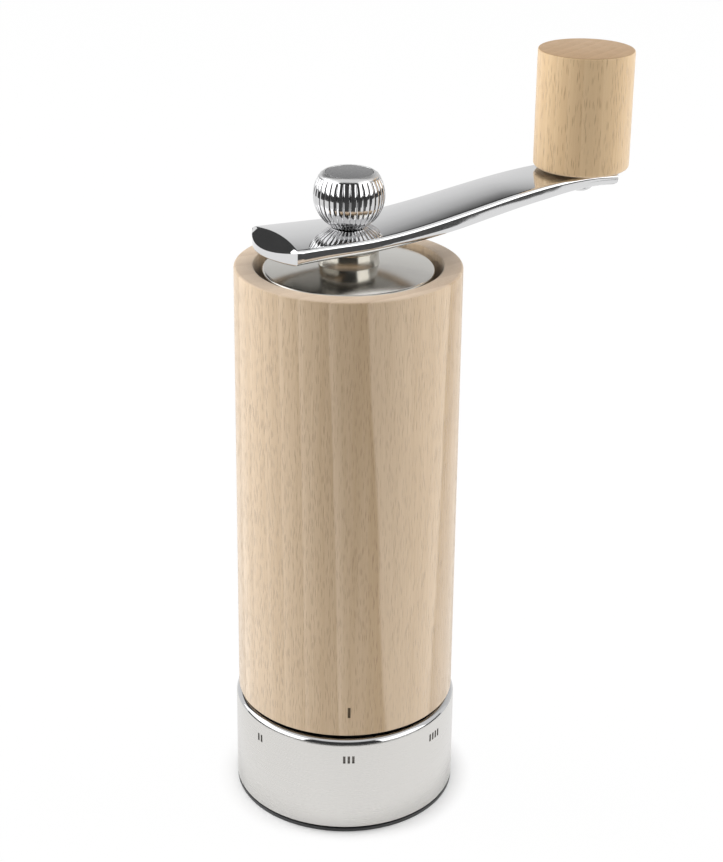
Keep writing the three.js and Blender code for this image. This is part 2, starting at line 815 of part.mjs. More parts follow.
// Screw that holds the inner grinder on the shaft, with a hexagon socket in its head.
function rotorScrew() {
  const seat = rotorBottom - 2 * seatGap - rotorWasherThickness;
  const bottom = seat - rotorScrewHeadHeight;
  const edge = rotorScrewHeadHeight * screwEdgeShare;
  const body = turned([
    [0, bottom],
    [rotorScrewHeadRadius - edge, bottom],
    [rotorScrewHeadRadius, bottom + edge],
    [rotorScrewHeadRadius, seat],
    [rotorScrewRadius, seat],
    [rotorScrewRadius, rotorBottom + rotorScrewLength],
    [0, rotorBottom + rotorScrewLength],
  ], smallSides);
  const hexRadius = hexAcross / 2 / Math.cos(Math.PI / hexSides);
  const hex = bar(hexRadius, bottom - overrun, bottom + hexDepth, hexSides);
  return body.subtract(hex);
}

// Lid plug: the black stopper that sits in the tube's mouth and carries the lid.
function lidPlug() {
  const bottom = plugStep - seatGap - plugSpigotHeight;
  const roof = bottom + plugHollowDepth;
  const top = lidRimTop - lidSheet - seatGap;
  return turned([
    [spigotRadius - plugWall, bottom],
    [spigotRadius, bottom],
    [spigotRadius, plugStep],
    [plugRadius, plugStep],
    [plugRadius, plugStepTop],
    [plugStepRadius, plugStepTop],
    [plugStepRadius, top],
    [stemHoleRadius, top],
    [stemHoleRadius, bottom],
    [stemHoleRadius + plugBossWall, bottom],
    [stemHoleRadius + plugBossWall, roof],
    [spigotRadius - plugWall, roof],
  ], middleSides);
}

// Lid: a slightly domed steel disc whose rim is rolled down.
function lidPlate() {
  const skirt = lidRimTop - lidRimRadius - lidSkirtHeight;
  const corner = lidRadius - lidRimRadius;
  const dome = (share) => lidRimTop + lidDome * (1 - share * share);
  const top = [...domeShares].reverse().map((share) => [corner * share, dome(share)]);
  const under = domeShares.map((share) => [corner * share, dome(share) - lidSheet]);
  return turned([
    [lidBoreRadius, skirt],
    [lidRadius, skirt],
    ...arc(corner, lidRimTop - lidRimRadius, lidRimRadius, 0, 90, shoulderSteps),
    ...top,
    [stemHoleRadius, lidTop - seatGap],
    [stemHoleRadius, lidTop - seatGap - lidSheet],
    ...under,
    [lidBoreRadius, lidRimTop - lidSheet - seatGap],
  ], middleSides);
}

// Hub: a waisted steel boss on the lid, with a stem that holds lid and plug together.
function lidHub() {
  const waist = hubBottom + hubHeight * waistHeightShare;
  const stemBottom = hubBottom - hubStemLength;
  return turned([
    [hubBoreRadius, stemBottom],
    [hubStemRadius, stemBottom],
    [hubStemRadius, hubBottom],
    [hubBaseRadius, hubBottom],
    [hubBaseRadius, hubBottom + hubBaseHeight],
    [hubWaistRadius, waist],
    [hubTopRadius, hubTop - hubTopHeight],
    [hubTopRadius, hubTop],
    [hubBoreRadius, hubTop],
  ], middleSides);
}

// Bush in the hub, in which the shaft turns.
function hubBush() {
  return tube(bushBoreRadius, hubBushRadius, hubBottom - hubStemLength, hubTop - seatGap,
    smallSides);
}

// Washer between the hub and the arm.
function hubWasher() {
  const bottom = hubTop + (armBottom - hubTop - hubWasherThickness) / 2;
  return tube(bushBoreRadius, hubWasherRadius, bottom, bottom + hubWasherThickness, smallSides);
}

// The arm's top face from the side: points along its length and height.
function armLine() {
  const start = new THREE.Vector2(armBendStart, armTop);
  const end = new THREE.Vector2(armBendEnd, armTop + armRise);
  const bend = new THREE.CubicBezierCurve(
    start,
    new THREE.Vector2(start.x + armBendStartHandle, start.y),
    new THREE.Vector2(end.x - armBendEndHandle, end.y),
    end,
  );
  const bulge = armEndBulge + overrun;
  return [
    new THREE.Vector2(-armTail - bulge, armTop),
    ...bend.getPoints(armBendSteps),
    new THREE.Vector2(armReach + bulge, armTop + armRise),
  ];
}

// Half the arm's width at a place along its length.
function armHalf(x, inset) {
  const t = (x + armTail) / (armReach + armTail);
  return (armTailWidth + (armTipWidth - armTailWidth) * t) / 2 - inset;
}

// The arm's outline from above, with both ends bowed outwards, drawn in by an inset.
function armPlan(inset) {
  const points = [];
  const bow = (x, sign) => {
    const half = armHalf(x, inset);
    for (let i = 0; i <= armEndSteps; i += 1) {
      const across = sign * half * (1 - (2 * i) / armEndSteps);
      const out = armEndBulge * (1 - (across / half) ** 2) - inset;
      points.push(new THREE.Vector2(x + (x > 0 ? out : -out), across));
    }
  };
  bow(armReach, -1);
  bow(-armTail, 1);
  return new THREE.Shape(points);
}

// The arm's slab: its line and thickness, drawn across, with its faces moved in by an inset.
function armSlab(inset) {
  const line = armLine();
  const width = armTailWidth + 2 * overrun;
  const up = line.map((p) => new THREE.Vector2(p.x, p.y - inset));
  const down = line.map((p) => new THREE.Vector2(p.x, p.y - armThickness + inset));
  const side = new THREE.Shape([...down, ...up.reverse()]);
  const slab = new THREE.ExtrudeGeometry(side, { depth: width, bevelEnabled: false });
  return solid(slab.rotateX(Math.PI / 2).translate(0, width / 2, 0));
}

// A prism on the arm's outline, tall enough to cut the slab to it.
function armPrism(inset) {
  const height = armRise + armThickness + 2 * overrun;
  const prism = new THREE.ExtrudeGeometry(armPlan(inset), { depth: height, bevelEnabled: false });
  return solid(prism.translate(0, 0, armBottom - overrun));
}

// Crank arm: the slab cut to the outline. Its edges are broken by a second, narrower slab of the
// full thickness, and its short end is bevelled.
function crankArm() {
  const core = armSlab(armChamfer).intersect(armPrism(0));
  const skin = armSlab(0).intersect(armPrism(armChamfer));
  const body = core.add(skin);
  const bevelStart = -armTail - armEndBulge + armBevelRun;
  const outline = new THREE.Shape([
    new THREE.Vector2(bevelStart, armTop + overrun),
    new THREE.Vector2(bevelStart, armTop),
    new THREE.Vector2(bevelStart - armBevelRun, armTop - armBevelFall),
    new THREE.Vector2(bevelStart - armBevelRun - overrun, armTop - armBevelFall),
    new THREE.Vector2(bevelStart - armBevelRun - overrun, armTop + overrun),
  ]);
  const width = armTailWidth + 2 * overrun;
  const bevel = new THREE.ExtrudeGeometry(outline, { depth: width, bevelEnabled: false });
  const cutter = solid(bevel.rotateX(Math.PI / 2).translate(0, width / 2, 0));
  const axleHole = bar(axleBoreRadius, armBottom, armTop + armRise + overrun, smallSides);
  return body
    .subtract(cutter)
    .subtract(squareHole(armBottom, armTop))
    .subtract(axleHole.translate([gripOffset, 0, 0]));
}

// Ball nut: a fluted ball on a short neck, bored for the stud, with a recess for its disc.
function ballNut() {
  const rings = [];
  const bottom = -ballRadius * ballBottomShare;
  for (let k = 0; k <= ballLevels; k += 1) {
    const up = bottom + (ballTopLift - bottom) * (k / ballLevels);
    const radius = Math.sqrt(ballRadius ** 2 - up ** 2);
    const depth = k === ballLevels ? 0 : ballFluteDepth;
    rings.push(toothedRing(radius, depth, ballFlutes, ballPointsPerFlute, ballMiddle + up, 0));
  }
  const neckTop = ballMiddle + bottom + ballNeckHeight;
  const neck = bar(ballNeckRadius, ballBottom, neckTop, smallSides);
  const bore = bar(studRadius + seatGap, ballBottom - overrun, studTop + studSpare, smallSides);
  const floor = ballTop - ballDiscInset - ballDiscThickness - seatGap;
  const recess = bar(ballDiscRadius + seatGap, floor, ballTop + overrun, middleSides);
  return loft(rings).add(neck).subtract(bore).subtract(recess);
}

// Plain disc set in the ball's top.
function ballDisc() {
  const top = ballTop - ballDiscInset;
  return bar(ballDiscRadius, top - ballDiscThickness, top, middleSides);
}

// The arm's underside at the grip, where the axle's head sits.
function axleSeat() {
  const line = armLine();
  let [low, high] = [line[0], line[1]];
  for (let i = 0; i + 1 < line.length; i += 1) {
    if (line[i].x <= gripOffset) [low, high] = [line[i], line[i + 1]];
  }
  const t = (gripOffset - low.x) / (high.x - low.x);
  return low.y + (high.y - low.y) * t - armThickness;
}

// Axle: its domed head is under the arm and its shank runs up into the grip.
function gripAxle() {
  const seat = axleSeat() - axleHeadRoom;
  const bottom = seat - axleHeadHeight;
  const clipUnder = axleClipBottom() - seatGap / 2;
  const clipOver = axleClipBottom() + axleClipThickness + seatGap / 2;
  const floor = axleRadius - axleGrooveDepth;
  const end = clipOver + axleSpare;
  const [crownRadiusShare, crownHeightShare] = axleCrownShares;
  return turned([
    [0, bottom],
    [axleHeadRadius * crownRadiusShare, bottom + axleHeadHeight * crownHeightShare],
    [axleHeadRadius, bottom + axleHeadHeight * axleEdgeShare],
    [axleHeadRadius, seat],
    [axleRadius, seat],
    [axleRadius, clipUnder],
    [floor, clipUnder],
    [floor, clipOver],
    [axleRadius, clipOver],
    [axleRadius, end],
    [0, end],
  ], smallSides);
}

// Height of the clip on the axle, just over the bush.
function axleClipBottom() {
  return gripBottom + seatGap + gripBushLength + runGap;
}

// Clip on the axle: it keeps the grip from lifting off.
function axleClip() {
  const bottom = axleClipBottom();
  return openRing(axleRadius - axleGrooveDepth + seatGap, axleClipRadius, bottom,
    bottom + axleClipThickness, axleClipMouth, smallSides);
}

// Washer between arm and grip.
function gripWasher() {
  const top = gripBottom - seatGap / 2;
  return tube(axleBoreRadius, gripWasherRadius, top - gripWasherThickness, top, smallSides);
}

// Wooden grip: a plain cylinder with broken edges, bored from below.
function woodenGrip() {
  const boreTop = gripBottom + seatGap + gripBushLength + gripBoreSpare;
  const edge = gripRadius - gripRounding;
  const body = turned([
    [0, gripBottom],
    ...arc(edge, gripBottom + gripRounding, gripRounding, -90, 0, edgeSteps),
    ...arc(edge, gripTop - gripRounding, gripRounding, 0, 90, edgeSteps),
    [0, gripTop],
  ], middleSides);
  return body.subtract(bar(gripBoreRadius, gripBottom - overrun, boreTop, smallSides));
}

// Bush inside the grip, which turns on the axle.
function gripBush() {
  const bottom = gripBottom + seatGap;
  return tube(axleBoreRadius, gripBushRadius, bottom, bottom + gripBushLength, smallSides);
}

// Finishes
function finish(color, roughness, metalness) {
  return new THREE.MeshStandardMaterial({ color, roughness, metalness });
}
const beech = () => finish(0xd6bf9c, 0.6, 0);
const satinSteel = () => finish(0xd2cec6, 0.35, 1);
const polishedSteel = () => finish(0xdcdcdc, 0.1, 1);
const plainSteel = () => finish(0xb4b4b4, 0.4, 1);
const blackPlastic = () => finish(0x2a2a2b, 0.55, 0);
const whitePlastic = () => finish(0xe6e4de, 0.5, 0);
const ceramic = () => finish(0xefece4, 0.4, 0);
const rubber = () => finish(0x1e1e1e, 0.8, 0);
const brass = () => finish(0xc2a157, 0.35, 1);
const darkDisc = () => finish(0x4c4c4e, 0.3, 1);

// Adds a named piece to a group.
function place(group, name, shape, material) {
  const mesh = new THREE.Mesh(surface(shape), material);
  mesh.name = name;
  group.add(mesh);
}

// The whole mill is set so that the middle of its outline on plan is over the origin.
const farSide = gripOffset + gripRadius;
const mill = new THREE.Group();
mill.position.x = (ringRadius - farSide) / 2;

place(mill, "wooden_body", woodenTube(), beech());
place(mill, "mechanism_housing", mechanismHousing(), blackPlastic());
place(mill, "retaining_ring", snapRing(), plainSteel());
place(mill, "drag_ring", dragRing(), rubber());
place(mill, "bearing_bridge", bearingBridge(), blackPlastic());
place(mill, "shaft_bush", shaftBush(), brass());
place(mill, "carrier_spring", carrierSpring(), plainSteel());

for (let i = 0; i < screwCount; i += 1) {
  const stand = new THREE.Group();
  stand.rotation.z = radians(screwTurn + (360 * i) / screwCount);
  place(stand, `housing_screw_${i + 1}`, housingScrew(0), plainSteel());
  stand.children[0].position.x = screwCircle;
  mill.add(stand);
}

place(mill, "steel_sleeve", steelSleeve(), satinSteel());
place(mill, "setting_collar", settingCollar(), blackPlastic());
place(mill, "foot_ring", footRing(), blackPlastic());

place(mill, "grinder_carrier", grinderCarrier(), whitePlastic());
place(mill, "outer_grinder", outerGrinder(), ceramic());

place(mill, "drive_shaft", driveShaft(), plainSteel());
place(mill, "shaft_spacer", shaftSpacer(), whitePlastic());
place(mill, "shaft_clip", shaftClip(), plainSteel());
place(mill, "inner_grinder", innerGrinder(), ceramic());
place(mill, "rotor_washer", rotorWasher(), plainSteel());
place(mill, "rotor_screw", rotorScrew(), plainSteel());

place(mill, "lid_plug", lidPlug(), blackPlastic());
place(mill, "lid_plate", lidPlate(), polishedSteel());
place(mill, "lid_hub", lidHub(), polishedSteel());
place(mill, "hub_bush", hubBush(), whitePlastic());
place(mill, "hub_washer", hubWasher(), whitePlastic());

place(mill, "crank_arm", crankArm(), polishedSteel());
place(mill, "ball_nut", ballNut(), polishedSteel());
place(mill, "ball_disc", ballDisc(), darkDisc());

const grip = new THREE.Group();
grip.position.x = gripOffset;
place(grip, "grip_axle", gripAxle(), plainSteel());
place(grip, "axle_clip", axleClip(), plainSteel());
place(grip, "grip_washer", gripWasher(), whitePlastic());
place(grip, "wooden_grip", woodenGrip(), beech());
place(grip, "grip_bush", gripBush(), whitePlastic());
mill.add(grip);

export default mill;
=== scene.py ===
from math import atan2, cos, pi, radians, sin, sqrt

import bpy
from mathutils import Matrix, Vector


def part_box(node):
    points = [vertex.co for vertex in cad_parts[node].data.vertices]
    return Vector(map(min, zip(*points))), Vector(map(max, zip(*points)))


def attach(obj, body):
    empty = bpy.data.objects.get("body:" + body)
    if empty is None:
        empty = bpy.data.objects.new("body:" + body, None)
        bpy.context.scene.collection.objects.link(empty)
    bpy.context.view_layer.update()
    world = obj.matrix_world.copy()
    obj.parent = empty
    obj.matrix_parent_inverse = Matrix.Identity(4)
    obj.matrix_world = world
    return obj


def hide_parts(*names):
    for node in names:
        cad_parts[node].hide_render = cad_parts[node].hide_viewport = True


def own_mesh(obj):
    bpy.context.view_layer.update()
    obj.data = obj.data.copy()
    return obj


# %% [markdown]
# # A salt mill with a crank
# A beech tube stands on a steel setting ring. A square shaft inside it is turned by a polished
# arm with a wooden grip, and a fluted ball nut holds the arm on the shaft.
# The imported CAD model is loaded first. Its parts are the frame that every new piece is fitted
# to, so the frame is measured before anything is added.

# %% Load the frame
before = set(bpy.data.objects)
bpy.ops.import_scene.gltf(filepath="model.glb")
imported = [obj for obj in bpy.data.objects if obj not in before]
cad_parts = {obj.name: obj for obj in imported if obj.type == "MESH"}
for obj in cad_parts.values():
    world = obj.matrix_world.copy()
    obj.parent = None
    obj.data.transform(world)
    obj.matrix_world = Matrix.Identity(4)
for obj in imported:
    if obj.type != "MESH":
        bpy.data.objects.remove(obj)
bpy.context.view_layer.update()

# %% [markdown]
# ## Measures
# Lengths are read in millimetres, as on a drawing, and Blender works in metres. The mill's own
# axis is found from the steel ring, and the grip's axis from the grip, so the pieces can't miss
# their places.

# %% Axes and units
MM = 0.001
NEAR = 0.02 * MM  # how close a corner must be to the place that it is picked by


def middle_of(node):
    """The middle of a CAD node's box on plan."""
    low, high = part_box(node)
    return (low.x + high.x) / 2


def heights(node):
    """The lowest and the highest point of a CAD node, in millimetres."""
    return tuple(corner.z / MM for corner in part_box(node))


MILL_AXIS = middle_of("steel_sleeve")
GRIP_AXIS = middle_of("wooden_grip")
print("mill axis", round(MILL_AXIS, 5), "grip axis", round(GRIP_AXIS, 5))

# %% [markdown]
# ## Working by hand
# Every operator acts on what is selected, so a piece starts by clearing the selection. Small
# helpers do what the hand does in the window: pick corners by their place, apply a modifier.


# %% Selecting and applying
def leave_edit_mode():
    """Goes back from a piece's corners to the piece as a whole."""
    bpy.ops.object.mode_set(mode="OBJECT")


def clear_selection():
    """Leaves edit mode and selects nothing."""
    if bpy.context.object:
        leave_edit_mode()
    bpy.ops.object.select_all(action="DESELECT")


def select_all():
    """Selects every corner of the piece in edit mode."""
    bpy.ops.mesh.select_all(action="SELECT")


def face_outwards():
    """Turns every face of the piece in edit mode so that it looks out."""
    select_all()
    bpy.ops.mesh.normals_make_consistent(inside=False)


def pick(piece, wanted, what="vertices"):
    """Selects the vertices, edges or faces for which wanted(...) is true, in edit mode."""
    leave_edit_mode()
    mesh = piece.data
    for group in (mesh.vertices, mesh.edges, mesh.polygons):
        group.foreach_set("select", [False] * len(group))
    chosen = getattr(mesh, what)
    flags = [bool(wanted(part)) for part in chosen]
    chosen.foreach_set("select", flags)
    modes = {"vertices": "VERT", "edges": "EDGE", "polygons": "FACE"}
    bpy.ops.object.mode_set(mode="EDIT")
    bpy.ops.mesh.select_mode(type=modes[what])
    return sum(flags)


def apply_modifier(piece, kind, **settings):
    """Adds a modifier with its settings and applies it."""
    leave_edit_mode()
    modifier = piece.modifiers.new(kind.title(), kind)
    for name, value in settings.items():
        setattr(modifier, name, value)
    bpy.ops.object.modifier_apply(modifier=modifier.name)


def finish_piece(name, finish=None, smooth_angle=35):
    """Names the active piece, smooths it and puts its place and turn into its mesh. It may also
    give it its finish."""
    piece = bpy.context.object
    leave_edit_mode()
    if finish:
        piece.data.materials.append(finish)
    bpy.ops.object.transform_apply()
    bpy.ops.object.shade_smooth_by_angle(angle=radians(smooth_angle))
    piece.name = name
    piece.data.name = name
    triangles = sum(len(face.vertices) - 2 for face in piece.data.polygons)
    print(f"{name}: {triangles} triangles")
    return piece


# %% [markdown]
# Most of the mill was made on a lathe, and Blender's Spin is a lathe: half of the section is
# drawn as a line, and Spin turns it round the axis. The line starts as a plane merged into one
# point, which is extruded from corner to corner. Sharp corners are rounded later with Bevel.


# %% Turning on the lathe
ROUND_SIDES = 360
SMALL_SIDES = 96


def turned(outline, axis=MILL_AXIS, sides=ROUND_SIDES, closed=True, angle=2 * pi):
    """Turns corners of (radius, height) in millimetres round an upright axis."""
    clear_selection()
    corners = [Vector((axis + r * MM, 0, z * MM)) for r, z in outline]
    bpy.ops.mesh.primitive_plane_add(size=MM, location=corners[0])
    piece = bpy.context.object
    bpy.ops.object.mode_set(mode="EDIT")
    bpy.ops.mesh.select_mode(type="VERT")
    select_all()
    bpy.ops.mesh.merge(type="CENTER")
    path = corners + corners[:1] if closed else corners
    for start, end in zip(path, path[1:]):
        bpy.ops.mesh.extrude_region_move(TRANSFORM_OT_translate={"value": end - start})
    select_all()
    bpy.ops.mesh.remove_doubles(threshold=MM / 1000)
    select_all()
    bpy.ops.mesh.spin(steps=sides, angle=angle, center=(axis, 0, 0), axis=(0, 0, 1))
    select_all()
    bpy.ops.mesh.remove_doubles(threshold=MM / 500)
    face_outwards()
    leave_edit_mode()
    bpy.ops.object.transform_apply()
    return piece


def round_corner(piece, corner, width, segments=4, axis=MILL_AXIS):
    """Rounds the edge that runs round a turned piece at a corner of its outline."""
    points = piece.data.vertices

    def is_near(point):
        radius = sqrt((point.x - axis) ** 2 + point.y**2)
        return abs(radius - corner[0] * MM) < NEAR and abs(point.z - corner[1] * MM) < NEAR

    pick(piece, lambda edge: all(is_near(points[i].co) for i in edge.vertices), "edges")
    bpy.ops.mesh.bevel(offset=width * MM, segments=segments, profile=0.5, affect="EDGES")
    leave_edit_mode()


# %% [markdown]
# ## Finishes
# A finish is a small tree of nodes. The helpers below add a node with its settings and join two
# sockets. All patterns read Object coordinates, so they are measured in metres and stay with
# their piece, and a Mapping node centres each pattern on the axis of the piece.

# %% Node helpers
COLOUR_SOCKETS = (0, 6, 7)  # of the Mix node: the factor and two colours
COLOUR_RESULT = 2


def new_finish(name, colour, roughness, metallic=0.0):
    """A finish with its shader, set to plain values."""
    finish = bpy.data.materials.new(name)
    finish.use_nodes = True
    shader = finish.node_tree.nodes["Principled BSDF"]
    shader.inputs["Base Color"].default_value = (*colour, 1)
    shader.inputs["Roughness"].default_value = roughness
    shader.inputs["Metallic"].default_value = metallic
    return finish, shader


def add_node(finish, kind, **settings):
    """A node with settings; those that name a socket set that socket."""
    node = finish.node_tree.nodes.new("ShaderNode" + kind)
    for name, value in settings.items():
        if hasattr(node, name):
            setattr(node, name, value)
        else:
            node.inputs[name.replace("_", " ")].default_value = value
    return node


def join(finish, source, target):
    """Joins an output socket to an input socket, or sets that to a number or a colour."""
    if isinstance(source, (int, float)):
        target.default_value = source
    elif isinstance(source, tuple):
        target.default_value = (*source, 1)
    else:
        finish.node_tree.links.new(source, target)


def calculate(finish, operation, *values):
    """A Math node; each value is a socket or a number."""
    node = add_node(finish, "Math", operation=operation)
    for socket, value in zip(node.inputs, values):
        join(finish, value, socket)
    return node.outputs["Value"]


def ramp(finish, value, *stops):
    """A Color Ramp from a value; each stop is (position, colour or grey)."""
    node = add_node(finish, "ValToRGB")
    elements = node.color_ramp.elements
    while len(elements) < len(stops):
        elements.new(0.5)
    for element, (position, colour) in zip(elements, stops):
        element.position = position
        shade = (colour,) * 3 if isinstance(colour, (int, float)) else colour
        element.color = (*shade, 1)
    join(finish, value, node.inputs["Fac"])
    return node.outputs["Color"]


def mix(finish, factor, first, second, blend="MIX"):
    """Mixes two colours; each value is a socket, a colour or a number."""
    node = add_node(finish, "Mix", data_type="RGBA", blend_type=blend)
    for place, value in zip(COLOUR_SOCKETS, (factor, first, second)):
        join(finish, value, node.inputs[place])
    return node.outputs[COLOUR_RESULT]


def shaded(colour, share):
    """A colour made darker or lighter by a share."""
    return tuple(part * share for part in colour)


def placed(finish, middle, scale=(1, 1, 1), turn=0.0):
    """Object coordinates about a middle, turned about Z and scaled."""
    coordinates = add_node(finish, "TexCoord").outputs["Object"]
    centre = add_node(finish, "Mapping", Location=(-middle[0], -middle[1], -middle[2]))
    join(finish, coordinates, centre.inputs["Vector"])
    turned_to = add_node(finish, "Mapping", Rotation=(0, 0, -turn), Scale=scale)
    join(finish, centre.outputs["Vector"], turned_to.inputs["Vector"])
    return turned_to.outputs["Vector"]


def split_place(finish, place):
    """The X, Y and Z of a place."""
    node = add_node(finish, "SeparateXYZ")
    join(finish, place, node.inputs["Vector"])
    return node.outputs


def from_axis(finish, x, y):
    """How far a place is from an upright axis."""
    return calculate(finish, "SQRT", calculate(finish, "ADD",
        calculate(finish, "POWER", x, 2.0), calculate(finish, "POWER", y, 2.0)))


def noise(finish, place, scale=1.0, detail=2.0, roughness=0.5):
    """A Noise texture's value at a place."""
    node = add_node(finish, "TexNoise", Scale=scale, Detail=detail, Roughness=roughness)
    join(finish, place, node.inputs["Vector"])
    return node.outputs["Fac"]


def vary_roughness(finish, shader, pattern, spread, least):
    """Roughness that follows a pattern, from the least value up."""
    rough = calculate(finish, "MULTIPLY_ADD", pattern, spread, least)
    join(finish, rough, shader.inputs["Roughness"])


def raise_surface(finish, shader, height, strength, distance):
    """Bumps the surface by a height map."""
    bump = add_node(finish, "Bump", Strength=strength, Distance=distance)
    join(finish, height, bump.inputs["Height"])
    join(finish, bump.outputs["Normal"], shader.inputs["Normal"])


# %% [markdown]
# ### Beech
# Beech is pale, with faint growth rings and many short brown flecks, the ends of the wood's
# rays. A wood that is only painted on would show no rings on its end grain. Here the rings are
# shells round the heart of the tree, some way off to the side, so that they cut the tube's side
# as upright bands and its top as arcs. The flecks are cells of a Voronoi texture, drawn out
# along the grain.

# %% Make beech
HEART = -0.120  # the tree's heart, in metres from the piece's axis
RING_REACH = 0.029  # how far the rings are drawn to either side of that axis
LEAN = 0.0128
LEAN_CENTRE = 0.087  # the height about which the trunk leans
WAVER = 0.0012
OLD_WOOD, NEW_WOOD, FADE = 0.0025, 0.0005, 0.016  # about a ring's edge, in shares of the ramp


def growth(finish, distance, edges):
    """Growth rings: paler after each edge, then darker up to the next one."""
    nearest, furthest = -HEART - RING_REACH, -HEART + RING_REACH
    span = furthest - nearest
    share = calculate(finish, "DIVIDE", calculate(finish, "SUBTRACT", distance, nearest), span)
    stops = [(0.0, 0.2)]
    for edge, darkness, paleness in edges:
        at = (edge - nearest) / span
        stops += [(at - OLD_WOOD, darkness), (at + NEW_WOOD, paleness * 0.2)]
        stops += [(at + FADE, paleness)]
    return ramp(finish, share, *stops)


def beech(name, axis, pale, brown, heart_turn, edges, fleck_scale, fleck_share, fleck_depth,
        sheen=0.45):
    """Beech whose rings are centred on a heart that lies off to the side of a piece's axis."""
    finish, shader = new_finish(name, pale, 0.5)
    middle = (axis, 0, 0)
    waver = noise(finish, placed(finish, middle, (40, 40, 14)))

    # Rings: how far a point is from the heart, with the trunk's slight lean and waver
    split = split_place(finish, placed(finish, middle, turn=heart_turn))
    reach = from_axis(finish, calculate(finish, "SUBTRACT", split["X"], HEART), split["Y"])
    height = calculate(finish, "SUBTRACT", split["Z"], LEAN_CENTRE)
    leant = calculate(finish, "MULTIPLY_ADD", height, LEAN, reach)
    aside = calculate(finish, "SUBTRACT", waver, 0.5)
    wavered = calculate(finish, "MULTIPLY_ADD", aside, WAVER, leant)
    band = growth(finish, wavered, edges)

    # Fibres: streaks along the grain, fine and broad
    fine = noise(finish, placed(finish, middle, (2600, 2600, 70)))
    broad = noise(finish, placed(finish, middle, (300, 300, 7)))
    fibre = calculate(finish, "ADD", calculate(finish, "MULTIPLY", fine, 0.4),
        calculate(finish, "MULTIPLY", broad, 0.6))
    shade = calculate(finish, "ADD", band, calculate(finish, "MULTIPLY_ADD", fibre, 1.2, -0.6))
    wood = mix(finish, ramp(finish, shade, (0.0, 0.0), (1.0, 1.0)), pale, brown)

    # Flecks: thin upright cells, of which only some are dark
    cells = add_node(finish, "TexVoronoi", Scale=1.0, Randomness=1.0)
    join(finish, placed(finish, middle, fleck_scale), cells.inputs["Vector"])
    inside = ramp(finish, cells.outputs["Distance"], (0.22, 1.0), (0.42, 0.0))
    lot = add_node(finish, "SeparateColor")
    join(finish, cells.outputs["Color"], lot.inputs["Color"])
    chosen = ramp(finish, lot.outputs["Red"], (fleck_share - 0.04, 1.0), (fleck_share + 0.04, 0.0))
    fleck = calculate(finish, "MULTIPLY", inside, chosen)
    faint = calculate(finish, "MULTIPLY", fleck, calculate(finish, "MULTIPLY_ADD", band, 0.5, 0.5))
    dark = tuple(part * share for part, share in zip(brown, (0.52, 0.41, 0.33)))
    coloured = mix(finish, calculate(finish, "MULTIPLY", faint, fleck_depth), wood, dark)
    join(finish, coloured, shader.inputs["Base Color"])

    vary_roughness(finish, shader, fibre, 0.18, 0.4)
    shader.inputs["Sheen Weight"].default_value = sheen
    shader.inputs["Sheen Roughness"].default_value = 0.4
    grain = calculate(finish, "SUBTRACT", fine, fleck)
    raise_surface(finish, shader, grain, 0.5, 0.00015)
    return finish


# Each ring: its edge in metres from the heart, the tone before it and the tone after it
TUBE_RINGS = [(0.0975, 0.6, 0.1), (0.1035, 0.8, 0.15), (0.1101, 0.6, 0.2), (0.1168, 0.7, 0.1),
    (0.1228, 0.4, 0.15), (0.1281, 0.35, 0.2), (0.1325, 0.45, 0.25), (0.137, 0.62, 0.35),
    (0.1422, 0.8, 0.5), (0.1465, 1.0, 0.2)]
GRIP_RINGS = [(0.111, 0.6, 0.4), (0.1142, 0.7, 0.5), (0.1175, 0.6, 0.4), (0.1204, 0.7, 0.4),
    (0.1237, 0.6, 0.4), (0.1272, 0.7, 0.4), (0.1306, 0.6, 0.4)]
TUBE_HEART = radians(-79)
GRIP_HEART = radians(-60)
TUBE_BEECH = beech("tube beech", MILL_AXIS, (0.66, 0.505, 0.345), (0.485, 0.34, 0.195),
    TUBE_HEART, TUBE_RINGS, (3700, 3700, 290), 0.72, 0.4, 0.6)
TUBE_END = beech("tube end grain", MILL_AXIS, (0.66, 0.52, 0.385), (0.56, 0.42, 0.295),
    TUBE_HEART, TUBE_RINGS, (3400, 3400, 300), 0.3, 0.2, 0.15)
GRIP_BEECH = beech("grip beech", GRIP_AXIS, (0.70, 0.505, 0.29), (0.615, 0.42, 0.225),
    GRIP_HEART, GRIP_RINGS, (3700, 3700, 280), 0.6, 0.75)
GRIP_END = beech("grip end grain", GRIP_AXIS, (0.45, 0.285, 0.147), (0.37, 0.233, 0.115),
    GRIP_HEART, GRIP_RINGS, (3000, 3000, 270), 0.2, 0.2, 0.05)


# %% [markdown]
# ### Steel
# One metal, finished in three ways. The ring's side and the ball's rim are satin, rubbed round
# and round with fine grit, which leaves thin lines that all run level. The arm, the ball and the
# ring's shoulder are polished to a mirror with only a faint haze. The lid and its hub were
# polished on a lathe and keep fine circles. The tones differ a little from piece to piece.


# %% Make the steels
def satin_steel(name, colour, roughness):
    """Steel rubbed round the mill's axis."""
    finish, shader = new_finish(name, colour, roughness, 1.0)
    place = placed(finish, (MILL_AXIS, 0, 0), (70, 70, 9000))
    lines = noise(finish, place, 1.0, 3.0, 0.6)
    soft = noise(finish, placed(finish, (MILL_AXIS, 0, 0), (40, 40, 12)))
    lined = calculate(finish, "MULTIPLY_ADD", lines, 0.06, roughness - 0.03)
    vary_roughness(finish, shader, soft, 0.04, lined)
    tint = mix(finish, soft, shaded(colour, 0.96), shaded(colour, 1.04))
    join(finish, tint, shader.inputs["Base Color"])
    raise_surface(finish, shader, lines, 0.018, 0.00004)
    return finish


